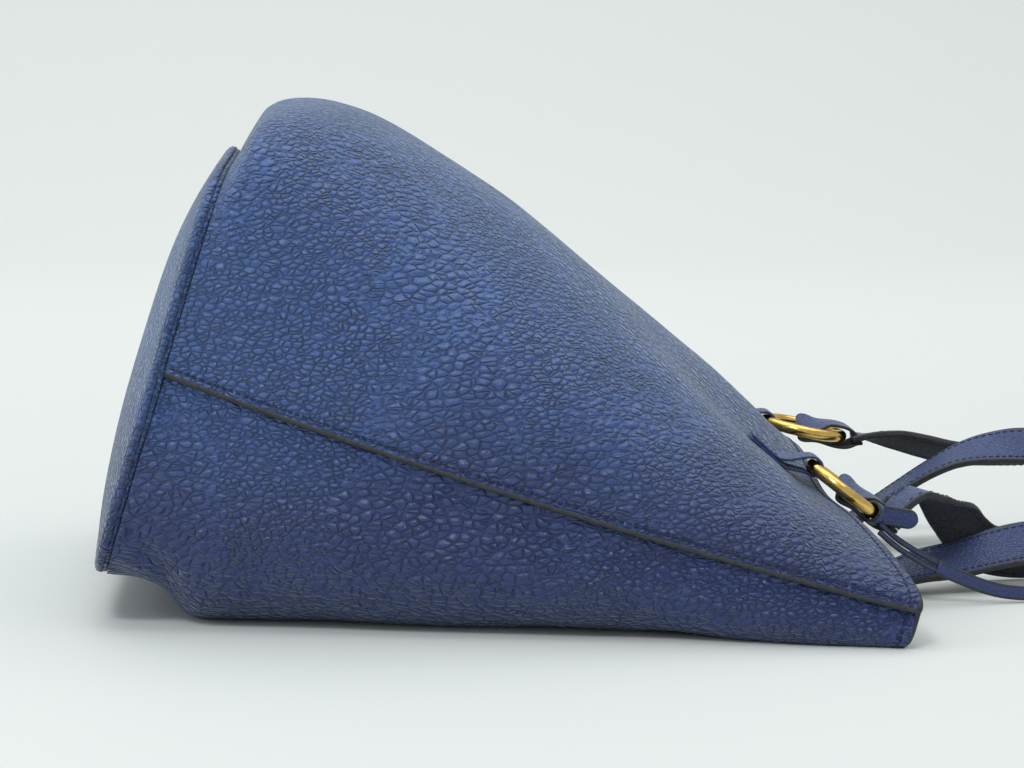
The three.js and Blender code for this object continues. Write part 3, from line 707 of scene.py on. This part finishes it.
PIPING, PIPING_INSET = 1.7, 0.5
round_angle = circle(320)
welt_out = skin_normal(0 * round_angle, round_angle)
welt_out = unit(welt_out - (welt_out @ AXIS)[:, None] * AXIS)
welt_line = (section_point(base_edge(round_angle), round_angle)
             - welt_out * (PIPING + PIPING_INSET) - AXIS * (WELT_RADIUS + WELT_GAP))
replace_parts(tube("welt_piping", welt_line, PIPING, "bag", BODY, closed=True),
            "base_welt")

# ---- Painted edges and stitch lines ----------------------------------------

BEAD, MOUTH_BEAD = 1.25, 1.05
BEAD_DEPTH, MOUTH_BEAD_DEPTH = 0.9, 1.0    # from the skin in to the bead's centre
PITCH = 3.0
STITCH_PROUD = 0.25


def inside(s, angle, offset):
    return skin(s, angle) - skin_normal(s, angle) * np.asarray(offset)[..., None]


run_s = np.linspace(0.0, 1.0, 180)
run_angle = np.linspace(0.0, math.pi, 260)[1:-1]
near_edge = inside(run_s, 0 * run_s, 0 * run_s + BEAD_DEPTH)
mouth_line = inside(1 + 0 * run_angle, run_angle, 0 * run_angle + MOUTH_BEAD_DEPTH)
far_edge = inside(run_s, 0 * run_s + math.pi, 0 * run_s + BEAD_DEPTH)[::-1]
ends = np.full(len(run_s), BEAD)
tube("edge_front", np.concatenate([near_edge, mouth_line, far_edge]),
     np.concatenate([ends, np.full(len(run_angle), MOUTH_BEAD), ends]), "bag", EDGE)
back_angle = np.linspace(math.pi - LAP_ANGLE * 0.8, 2 * math.pi + LAP_ANGLE * 0.8, 300)
back_line = inside(1 + 0 * back_angle, back_angle, lap_inset(back_angle) + MOUTH_BEAD_DEPTH)
tube("edge_back", back_line, MOUTH_BEAD, "bag", EDGE)


def panel_row(panel, rows, columns):
    """Stitch places along grid indices of a panel, standing a little proud of the leather."""
    line = panel.outer[rows, columns]
    normal = panel.normal[rows, columns]
    run = distance_along(line)
    want = np.arange(PITCH / 2, run[-1], PITCH)
    points = np.stack([np.interp(want, run, line[:, k]) for k in range(3)], 1)
    normals = unit(np.stack([np.interp(want, run, normal[:, k]) for k in range(3)], 1))
    return points + normals * STITCH_PROUD, normals


def panel_rows(panel, side_rows):
    """The stitch rows of a panel: along the mouth, and along both side seams if asked for."""
    n, half = panel.outer.shape[0], panel.outer.shape[1] // 2
    made = []
    if side_rows:
        rows = np.arange(2, n - 12)
        near = np.argmin(np.abs(panel.side[rows, :half] - SEAM_STITCH), axis=1)
        far = half + np.argmin(np.abs(panel.side[rows, half:] - SEAM_STITCH), axis=1)
        made += [panel_row(panel, rows, near), panel_row(panel, rows, far)]
    columns = np.arange(6, panel.outer.shape[1] - 6)
    across = np.argmin(np.abs(panel.mouth[:, columns] - MOUTH_STITCH), axis=0)
    made.append(panel_row(panel, across, columns))
    return made


stitches("stitches_bag", panel_rows(FRONT, True) + panel_rows(BACK, False), "bag")

# ---- Facings, linings, board and snap --------------------------------------

SEAM_FREE = 0.05
FACING, FACING_INSET, FACING_RUN = 1.4, 3.0, (0.875, 0.984)
LINING, LINING_INSET, LINING_RUN = 0.8, 5.6, (0.04, 0.90)


def inner_sheet(name, node, run, start, end, inset, thickness, material, slack):
    """A sheet inside the bag, set in from the skin, with slack that only takes it further in."""
    s, angle = grid(*run, start, end, 60, 110, 0.3, 0.3)
    plain, normal = skin(s, angle), skin_normal(s, angle)
    lift = -inset(angle) - slack * (0.5 + 0.5 * field(plain, 24, 2.0))
    outer = plain + normal * lift[..., None]
    made = sheet(name, outer, outer - normal * thickness, "bag", [material])
    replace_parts(made, node)


inner_sheet("mouth_facing_front", "facing_front", FACING_RUN, 2 * LAP_ANGLE,
            math.pi - 2 * LAP_ANGLE, lambda a: FACING_INSET + 0 * a, FACING,
            BODY, 0.2)
inner_sheet("mouth_facing_back", "facing_back", FACING_RUN, math.pi + LAP_ANGLE,
            2 * math.pi - LAP_ANGLE, lambda a: FACING_INSET + lap_inset(a), FACING,
            BODY, 0.2)
for half, start in (("front", 0.0), ("back", math.pi)):
    inner_sheet(f"lining_cloth_{half}", f"lining_{half}", LINING_RUN, start + SEAM_FREE,
                start + math.pi - SEAM_FREE, lambda a: LINING_INSET + 0 * a, LINING,
                CLOTH, 1.6)

for node, material in (("base_board", BOARD), ("base_lining", CLOTH), ("snap_stud", GOLD),
                       ("snap_socket", GOLD)):
    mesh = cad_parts[node].data
    mesh.materials.clear()
    mesh.materials.append(material)

# ---- Rings -----------------------------------------------------------------

RING_RADIUS, WIRE = 17.25, 2.5
Y = np.array([0.0, 1.0, 0.0])


class Ring:
    """A metal ring: the wire point held by its tab, and the direction it hangs in."""

    def __init__(self, name, hinge, slope, eye_y):
        turn = math.radians(slope)
        self.name = name
        self.hinge = np.array(hinge)
        self.dir = np.array([math.cos(turn), 0.0, math.sin(turn)])
        self.up = np.cross(self.dir, Y)
        self.centre = self.hinge + self.dir * RING_RADIUS
        self.outer = self.hinge + self.dir * 2 * RING_RADIUS
        self.eye_y = eye_y


RINGS = {ring.name: ring for ring in (
    Ring("front_near", (107.13, -70.0, 55.33), -37, -66.0),
    Ring("front_far", (107.13, 70.0, 55.33), -12, 70.0),
    Ring("back_near", (88.4, -60.0, 5.8), 0, -60.0),
    Ring("back_far", (88.4, 60.0, 5.8), 0, 60.0),
)}
for name, ring in RINGS.items():
    turn = circle(120)
    line = ring.centre + RING_RADIUS * (np.cos(turn)[:, None] * ring.dir
                                        + np.sin(turn)[:, None] * Y)
    made = tube(f"gilt_ring_{name}", line, WIRE, f"ring_{name}", GOLD, sides=24,
                closed=True)
    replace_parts(made, f"ring_{name}")

# ---- Bands of leather ------------------------------------------------------


def band_section(width, thickness, layers=1):
    """A strap's section with rounded painted edges. Returns points and each segment's face."""
    w, h = width / 2, thickness / 2
    r = h * 0.85
    face = np.linspace(-w + r, w - r, 9)
    crown = h * (1 - 0.10 * (face / w) ** 2) - 0.02
    turn = np.linspace(math.pi / 2, -math.pi / 2, 9)[1:-1]
    waist = 1 - 0.22 * np.exp(-(turn / 0.22) ** 2) * (layers - 1)
    edge = np.stack([w - r + r * np.cos(turn) * waist, h * np.sin(turn)], 1)
    top = np.stack([face, crown], 1)
    points = np.concatenate([top, edge, -top, -edge])
    kinds = np.array([0] * 8 + [1] * 8 + [2] * 8 + [1] * 8)
    return points, kinds


def band_form(line, sides, width, thickness, layers=1, closed=False, taper=None):
    """A leather band along a line: points, faces and each face's material number."""
    section, kinds = band_section(width, thickness, layers)
    sections = np.broadcast_to(section, (len(line),) + section.shape).copy()
    if taper is not None:
        sections *= taper[:, None, :]
    rings, side, up = swept(line, sides, sections)
    if closed:
        rings = np.concatenate([rings, rings[:1]])
    points = rings.reshape(-1, 3)
    faces = loops(rings)
    index = np.concatenate([np.tile(kinds, len(rings) - 1),
                            np.ones(len(faces) - kinds.size * (len(rings) - 1), int)])
    return points, outward(points, faces), index, side, up


def band(name, line, sides, width, thickness, body, slot, edge=EDGE, **form):
    """A leather band as a piece: grained face, painted edges, rough back."""
    points, faces, index, side, up = band_form(line, sides, width, thickness, **form)
    made = place_object(name, points, faces, body, [STRAP, edge, FLESH], index)
    return made, side, up


def arc(centre, x_dir, y_dir, radius, start, end, steps):
    turn = np.radians(np.linspace(start, end, steps))[:, None]
    return centre + radius * (np.cos(turn) * x_dir + np.sin(turn) * y_dir)


# ---- Tabs ------------------------------------------------------------------

TAB_BORE, TAB_LEATHER, TAB_WIDTH, TAB_LENGTH = 3.0, 1.2, 12.0, 24.0
TAB_U = 257.0
TAB_STITCH, TAB_STITCH_INSET = 2.2, 1.9
SEWN_IN = 0.05         # how far a strap's stitches sit below its face


def panel_slope(y):
    """Direction up the front panel at y, away from the mouth and square to Y."""
    def at(u):
        angle = np.linspace(0.2, math.pi - 0.2, 4000)
        points = section_point(u, angle)
        return points[np.argmin(np.abs(points[:, 1] - y))]
    slope = at(TAB_U - 18) - at(TAB_U)
    return unit(slope * np.array([1, 0, 1]))


def panel_fit(ring, slope, to_panel, front):
    """The panel round a tab: its distance from the hinge along the slope, and its side tilt."""
    points = (FRONT if front else BACK).outer.reshape(-1, 3) - ring.hinge
    run, reach, aside = points @ slope, points @ to_panel, points[:, 1]
    close = (np.abs(run - 13) < 19) & (np.abs(reach - 6) < 12) & (np.abs(aside) < 9)
    run, reach, aside = run[close], reach[close], aside[close]
    terms = np.stack([np.ones(len(run)), run, run ** 2, aside, aside * run], 1)
    fit = np.linalg.lstsq(terms, reach, rcond=None)[0]
    return (lambda t: fit[0] + fit[1] * t + fit[2] * t ** 2), (lambda t: fit[3] + fit[4] * t)


def tab(ring):
    front = ring.name.startswith("front")
    slope = panel_slope(ring.hinge[1]) if front else np.array([-1.0, 0.0, 0.0])
    to_panel = np.cross(Y, slope) * (-1 if front else 1)
    middle, far = TAB_BORE + TAB_LEATHER / 2, TAB_LENGTH + TAB_BORE
    reach, tilt = panel_fit(ring, slope, to_panel, front)

    def layer(run, number):
        depth = reach(run) - 0.1 - TAB_LEATHER * (number + 0.5)
        return ring.hinge + to_panel * depth + slope * run

    def across(run):
        lean = tilt(run) * smooth(run, 3, 13)
        return unit(Y + to_panel * lean[..., None])

    path = [layer(far, 0), layer(far - 6, 0), layer(far - 12, 0), layer(9, 0)]
    path += list(arc(ring.hinge, to_panel, -slope, middle, -10, 180, 15))
    path += [ring.hinge - to_panel * (middle - 0.5) + slope * 2.4,
             ring.hinge - to_panel * 0.4 + slope * 5.6, ring.hinge + to_panel * 3.2 + slope * 9,
             layer(13, 1) - to_panel * 0.2, layer(17, 1), layer(far - 6, 1), layer(far, 1)]
    line = even(spline(path, np.linspace(0, 1, 500)), 0.8)
    made = band(f"tab_band_{ring.name}", line, -across((line - ring.hinge) @ slope), TAB_WIDTH,
                TAB_LEATHER, "bag", "strap_leather", edge=STRAP)[0]
    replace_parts(made, f"tab_{ring.name}")
    rows = []
    to_face = -to_panel * (TAB_LEATHER / 2 - SEWN_IN)
    for shift in (-1, 1):
        aside = shift * (TAB_WIDTH / 2 - TAB_STITCH_INSET)
        row = np.array([layer(t, 1) + to_face + across(t) * aside
                        for t in 15 + TAB_STITCH * np.arange(5)])
        rows.append((row, np.broadcast_to(-to_panel, row.shape)))
    last = np.float64(far - 2)
    end = np.array([layer(last, 1) + to_face + across(last) * (k - 1.5) * 2.4 for k in range(4)])
    rows.append((end, np.broadcast_to(-to_panel, end.shape)))
    stitches(f"stitches_tab_{ring.name}", rows, "bag", 1.7, 0.3)


for ring in RINGS.values():
    tab(ring)

# ---- Handles ---------------------------------------------------------------

STRAP_WIDTH, STRAP_THICKNESS, STRAP_STITCH_INSET = 21.0, 3.2, 2.6
LOOP_WIDTH, LOOP_REACH, LOOP_HALF, LOOP_LEATHER = 18.0, 21.0, 3.7, 1.5
EYE_END = 0.3 + LOOP_HALF + LOOP_LEATHER / 2   # from the ring's wire to the strap's own end
EYE_PINCH = 1.75       # half height of a loop at its inner end
EYE_ROLL = -22.0       # degrees by which that end is twisted towards the near side

# Each route point is x, y, z and the roll of the strap's width about its line.
FRONT_ROUTE = [
    (143, -67, 38, 10), (150, -65, 42.5, 2), (157, -59, 41, -8), (164, -51.5, 36, -26),
    (171, -42.5, 28.8, -48), (178, -35, 20.4, -68), (186, -30.5, 14.2, -84),
    (196, -28, 11.6, -90), (208, -27, 11, -90), (235, -25, 11, -90), (285, -34, 11, -90),
    (335, -40, 11, -90), (372, -33, 11, -90), (393, 0, 11, -90), (384, 29, 13, -90),
    (364, 43, 20.5, -90), (338, 53, 25.5, -92), (310, 61, 27.5, -104), (285, 67, 31, -125),
    (262, 70, 34, -150), (230, 72, 35.5, -190), (205, 71, 38.2, -208), (190, 70, 40, -212),
    (178, 70, 43, -211), (166, 69.5, 46, -206), (155, 69, 47.5, -192)]
BACK_ROUTE = [
    (131, -60, 6.2, 0), (141, -57, 7.2, 12), (156, -53, 10.8, 27), (170, -52, 13, 33),
    (185, -50, 16.5, 38), (203, -46.5, 19, 44), (235, -45, 17, 62), (280, -50, 12.5, 84),
    (330, -56, 11.3, 90), (380, -55, 11.3, 90), (418, -36, 11.3, 90), (430, 0, 11.3, 90),
    (421, 34, 11.4, 92), (394, 50, 11.3, 105), (364, 60.5, 9.8, 140), (334, 57, 5.2, 170),
    (302, 50, 11, 182), (274, 44.5, 25, 200), (246, 43, 38, 214), (222, 44, 46, 222),
    (202, 45, 45, 208), (188, 45.5, 41.5, 192), (176, 46.5, 35.5, 184),
    (164, 48.5, 27.5, 181), (152, 52, 18.5, 180), (141, 56, 10.5, 180), (131, 60, 6.3, 180)]


def rolled(roll):
    """The direction of a strap's width at each roll about its line."""
    return np.stack([0 * roll, np.cos(roll), np.sin(roll)], 1)


def eye(ring, body):
    """The strap's end folded round the ring's wire and sewn back on itself."""
    middle = ring.outer.copy()
    middle[1] = ring.eye_y
    half = LOOP_HALF + LOOP_LEATHER / 2
    reach = LOOP_REACH - LOOP_LEATHER - EYE_PINCH
    outline = [(9, 0.8), (6.5, 1.6), (3.5, half - 0.9), (0, half), (-6, half - 0.1),
               (-reach * 0.72, 2.7)]
    path = [(run, -rise) for run, rise in outline]
    path += [(-reach - EYE_PINCH * math.sin(t), -EYE_PINCH * math.cos(t))
             for t in np.linspace(0, math.pi, 9)]
    path += [(run, rise) for run, rise in outline[::-1]]
    flat = even(spline([(a, b, 0) for a, b in path], np.linspace(0, 1, 600)), 0.8)
    twist = np.radians(EYE_ROLL * smooth(-flat[:, :1], 6, reach))
    up = ring.up * np.cos(twist) + Y * np.sin(twist)
    side = Y * np.cos(twist) - ring.up * np.sin(twist)
    line = middle + flat[:, :1] * ring.dir + flat[:, 1:2] * up
    band(f"eye_{ring.name}", line, side, LOOP_WIDTH, LOOP_LEATHER, body, "strap_leather")


def handle(name, route, near, far):
    def end(ring):
        point = ring.outer + ring.dir * EYE_END
        return [point[0], ring.eye_y, point[2]]
    last_roll = math.copysign(180, route[-1][3])
    full = [end(near) + [route[0][3]]] + [list(p) for p in route] + [end(far) + [last_roll]]
    full = np.array(full, float)
    t = np.linspace(0, 1, 1200)
    line = spline(full[:, :3], t)
    soft = t * (len(full) - 1)
    roll = np.interp(soft, np.arange(len(full)), full[:, 3])
    kernel = np.hanning(61) / np.hanning(61).sum()
    roll = np.convolve(np.pad(roll, 30, mode="edge"), kernel, mode="valid")
    packed = even(np.concatenate([line, roll[:, None]], 1), 1.6)
    line, roll = packed[:, :3], np.radians(packed[:, 3])
    body = f"handle_{name}"
    made, side, up = band(f"strap_{name}", line, rolled(roll), STRAP_WIDTH, STRAP_THICKNESS,
                          body, "strap_leather", layers=2)
    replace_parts(made, body)
    rows = []
    places = even(np.concatenate([line, side, up], 1), PITCH)[4:-4]
    for shift in (-1, 1):
        for facing in (-1, 1):
            lift = facing * (STRAP_THICKNESS / 2 - SEWN_IN)
            aside = STRAP_WIDTH / 2 - STRAP_STITCH_INSET
            points = places[:, :3] + places[:, 3:6] * shift * aside + places[:, 6:] * lift
            rows.append((points, places[:, 6:] * facing))
    stitches(f"stitches_{name}", rows, body, 2.1, 0.32)
    for ring in (near, far):
        eye(ring, body)


handle("front", FRONT_ROUTE, RINGS["front_near"], RINGS["front_far"])
handle("back", BACK_ROUTE, RINGS["back_near"], RINGS["back_far"])

# ---- Tag on its thin strap -------------------------------------------------

TAG_ROUTE = [
    (140, -83, 25.5), (146.5, -83, 21.2), (153, -82.5, 17.4), (160, -82, 13.8),
    (168, -81, 10.2), (176, -80, 7), (184, -79, 4.8), (193, -78, 3.7), (205, -78, 3.4),
    (220, -80, 3.4), (236, -84, 3.4), (250, -88.5, 3.4), (262, -93, 3.4), (273, -97.5, 3.4)]
TAG_ANGLE = math.radians(45)
TAG_WIDTH, TAG_LENGTH, TAG_CORNER, TAG_THICKNESS = 42.0, 66.0, 9.0, 3.6
TAG_PROFILE = [        # share of the outline, height in half thicknesses, material number
    (0.02, 1.0, 0), (0.5, 1.0, 0), (0.86, 0.97, 0), (0.9, 0.86, 0), (0.94, 0.97, 0),
    (0.975, 0.9, 1), (1.0, 0.5, 1), (0.985, 0.1, 1), (1.0, -0.3, 1), (0.98, -0.85, 0),
    (0.9, -1.0, 0), (0.02, -1.0, 0)]
TAG_STITCH_LINE = 0.9  # share of the outline
TAG_STRAP, TAG_STRAP_LEATHER, STRAND = 5.8, 2.2, 2.4
SLIT_LENGTH = 30.0     # how far the strap is slit into two strands from its upper end
TONGUE, TONGUE_ROUND = 14.0, 4


def tag_strap():
    """A narrow strap, slit at its upper end, that stands on its edge and lies flat at the tag."""
    line = even(spline([(132.5, -84, 32)] + TAG_ROUTE, np.linspace(0, 1, 400)), 1.0)
    share = np.linspace(0, 1, len(line))
    run = distance_along(line)
    roll = np.radians(lerp(82, 0, smooth(share, 0.55, 1.0)))
    line[:, 2] -= 1.5 * smooth(share, 0.62, 1.0)
    sides = rolled(roll)
    whole, slit = run > SLIT_LENGTH - 1.5, run < SLIT_LENGTH
    spread = (TAG_STRAP - STRAND) / 2 * np.array([-1, 1])
    forms = [band_form(line[whole], sides[whole], TAG_STRAP, TAG_STRAP_LEATHER)]
    forms += [band_form(line[slit] + sides[slit] * shift, sides[slit], STRAND,
                        TAG_STRAP_LEATHER * 0.8) for shift in spread]
    offsets = np.cumsum([0] + [len(form[0]) for form in forms])
    points = np.concatenate([form[0] for form in forms])
    faces = np.concatenate([form[1] + start for form, start in zip(forms, offsets)])
    made = place_object("tag_cord", points, faces, "tag",
                        [STRAP, EDGE, FLESH], np.concatenate([form[2] for form in forms]))
    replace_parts(made, "tag_strap")
    return made, line, float(run[-1]) * MM


def tag_loop():
    """The strap's keeper round the ring's wire, and the tongue that lies on its slit end."""
    ring = RINGS["front_near"]
    radial = ring.dir * math.cos(TAG_ANGLE) - Y * math.sin(TAG_ANGLE)
    tangent = -ring.dir * math.sin(TAG_ANGLE) - Y * math.cos(TAG_ANGLE)
    wire = ring.centre + radial * RING_RADIUS
    other = np.cross(tangent, radial)
    line = arc(wire, radial, other, 3.85, 0, 360, 49)[:-1]
    made = band("tag_keeper", line, np.broadcast_to(tangent, line.shape), 6.0, 1.3, "tag",
                "strap_leather", closed=True)[0]
    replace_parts(made, "tag_loop")
    fall = math.radians(-10)
    forward = np.array([math.cos(fall), 0.0, math.sin(fall)])
    start = wire + forward * 3.7 - Y
    run = np.linspace(0, TONGUE, 30)
    line = start + forward * run[:, None]
    past = np.clip(run - TONGUE + TONGUE_ROUND, 0, TONGUE_ROUND) / (TONGUE_ROUND + 0.05)
    width = np.sqrt(np.clip(1 - past ** 2, 0.02, 1))
    taper = np.stack([width, np.ones(len(run))], 1)
    stand = np.cross(forward, Y)
    band("tag_tongue", line, np.broadcast_to(stand, line.shape), 8.0, 2.2, "tag",
         "strap_leather", taper=taper)


def tag_leather():
    end, before = np.array(TAG_ROUTE[-1], float), np.array(TAG_ROUTE[-2], float)
    forward = unit((end - before) * np.array([1, 1, 0]))
    across = np.cross([0, 0, 1.0], forward)
    outline = []
    w, r = TAG_WIDTH / 2, TAG_CORNER
    for cx, cy, start in ((TAG_LENGTH - r, w - r, 90), (TAG_LENGTH - r, -w + r, 0),
                          (r, -w + r, -90), (r, w - r, -180)):
        for turn in np.radians(np.linspace(start, start - 90, 9)):
            outline.append((cx + r * math.cos(turn), cy + r * math.sin(turn)))
    outline = np.array(outline)
    middle = np.array([TAG_LENGTH / 2, 0.0])
    origin = (end + forward * 0.6) * np.array([1, 1, 0]) + np.array([0, 0, GAP + TAG_THICKNESS / 2])

    def laid(share, height):
        """The outline shrunk about its middle, laid on the table height above the origin."""
        flat = middle + (outline - middle) * share
        return origin + flat[:, :1] * forward + flat[:, 1:] * across + np.array([0, 0, height])

    rings = np.array([laid(share, level * TAG_THICKNESS / 2) for share, level, kind in TAG_PROFILE])
    kinds = [kind for share, level, kind in TAG_PROFILE]
    points = rings.reshape(-1, 3)
    faces = loops(rings)
    n = rings.shape[1]
    index = np.concatenate([np.repeat(kinds[1:], n), np.zeros(len(faces) - n * (len(rings) - 1))])
    made = place_object("tag_body", points, outward(points, faces), "tag",
                        [STRAP, EDGE], index)
    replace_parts(made, "tag_leather")
    path = laid(TAG_STITCH_LINE, 0)
    path = even(np.concatenate([path, path[:1]]), 2.8)[:-1]
    path = path + np.array([0, 0, TAG_THICKNESS / 2 - 0.2])
    stitches("stitches_tag", [(path, np.broadcast_to([0, 0, 1.0], path.shape))], "tag",
             2.0, 0.3)


tag_loop()
tag_leather()
cord_piece, cord_line, cord_length = tag_strap()

# ---- Floor, backdrop and lights --------------------------------------------

# These are in metres.
# The far colour, then the painted shade colour of the floor near the bag.
PAPER = pale("paper", colour(240, 244, 243), colour(212, 217, 216))
FLOOR_NEAR, FLOOR_FAR, FLOOR_HALF, FLOOR_ROWS = -3.0, 1.6, 5.0, 12
SWEEP_RADIUS, SWEEP_TOP = 1.2, 4.5
LIGHTS = (             # name, place, aim, size, power
    ("top_light", (0.1, 0.35, 1.9), (0.0, 0.0, 0.0), (2.6, 2.0), 24.0),
    ("front_light", (-0.6, -1.3, 1.7), (0.0, 0.0, 0.1), (0.5, 0.4), 13.0),
    ("left_light", (-2.0, -0.3, 1.0), (0.0, 0.0, 0.1), (1.2, 1.2), 8.0),
)
WORLD_COLOUR, WORLD_STRENGTH = (0.96, 0.985, 0.975, 1.0), 0.58


def backdrop():
    """A pale sweep: flat floor that curves up far behind the bag."""
    turn = np.radians(np.arange(6, 91, 6))
    y = np.concatenate([np.linspace(FLOOR_NEAR, FLOOR_FAR, FLOOR_ROWS),
                        FLOOR_FAR + SWEEP_RADIUS * np.sin(turn), [FLOOR_FAR + SWEEP_RADIUS]])
    z = np.concatenate([np.zeros(FLOOR_ROWS), SWEEP_RADIUS * (1 - np.cos(turn)), [SWEEP_TOP]])
    points = [(x, *row) for row in zip(y, z) for x in (-FLOOR_HALF, FLOOR_HALF)]
    faces = [(2 * i, 2 * i + 1, 2 * i + 3, 2 * i + 2) for i in range(len(y) - 1)]
    new_object("backdrop", points, faces, [PAPER])


def area_light(name, place, aim, size, power):
    light = bpy.data.lights.new(name, "AREA")
    light.shape = "RECTANGLE"
    light.size, light.size_y = size
    light.energy = power
    made = bpy.data.objects.new(name, light)
    made.location = place
    made.rotation_euler = (Vector(aim) - Vector(place)).to_track_quat("-Z", "Y").to_euler()
    bpy.context.scene.collection.objects.link(made)


backdrop()
for light in LIGHTS:
    area_light(*light)

world = bpy.data.worlds.new("studio")
world.use_nodes = True
background = world.node_tree.nodes["Background"]
background.inputs["Color"].default_value = WORLD_COLOUR
background.inputs["Strength"].default_value = WORLD_STRENGTH
bpy.context.scene.world = world
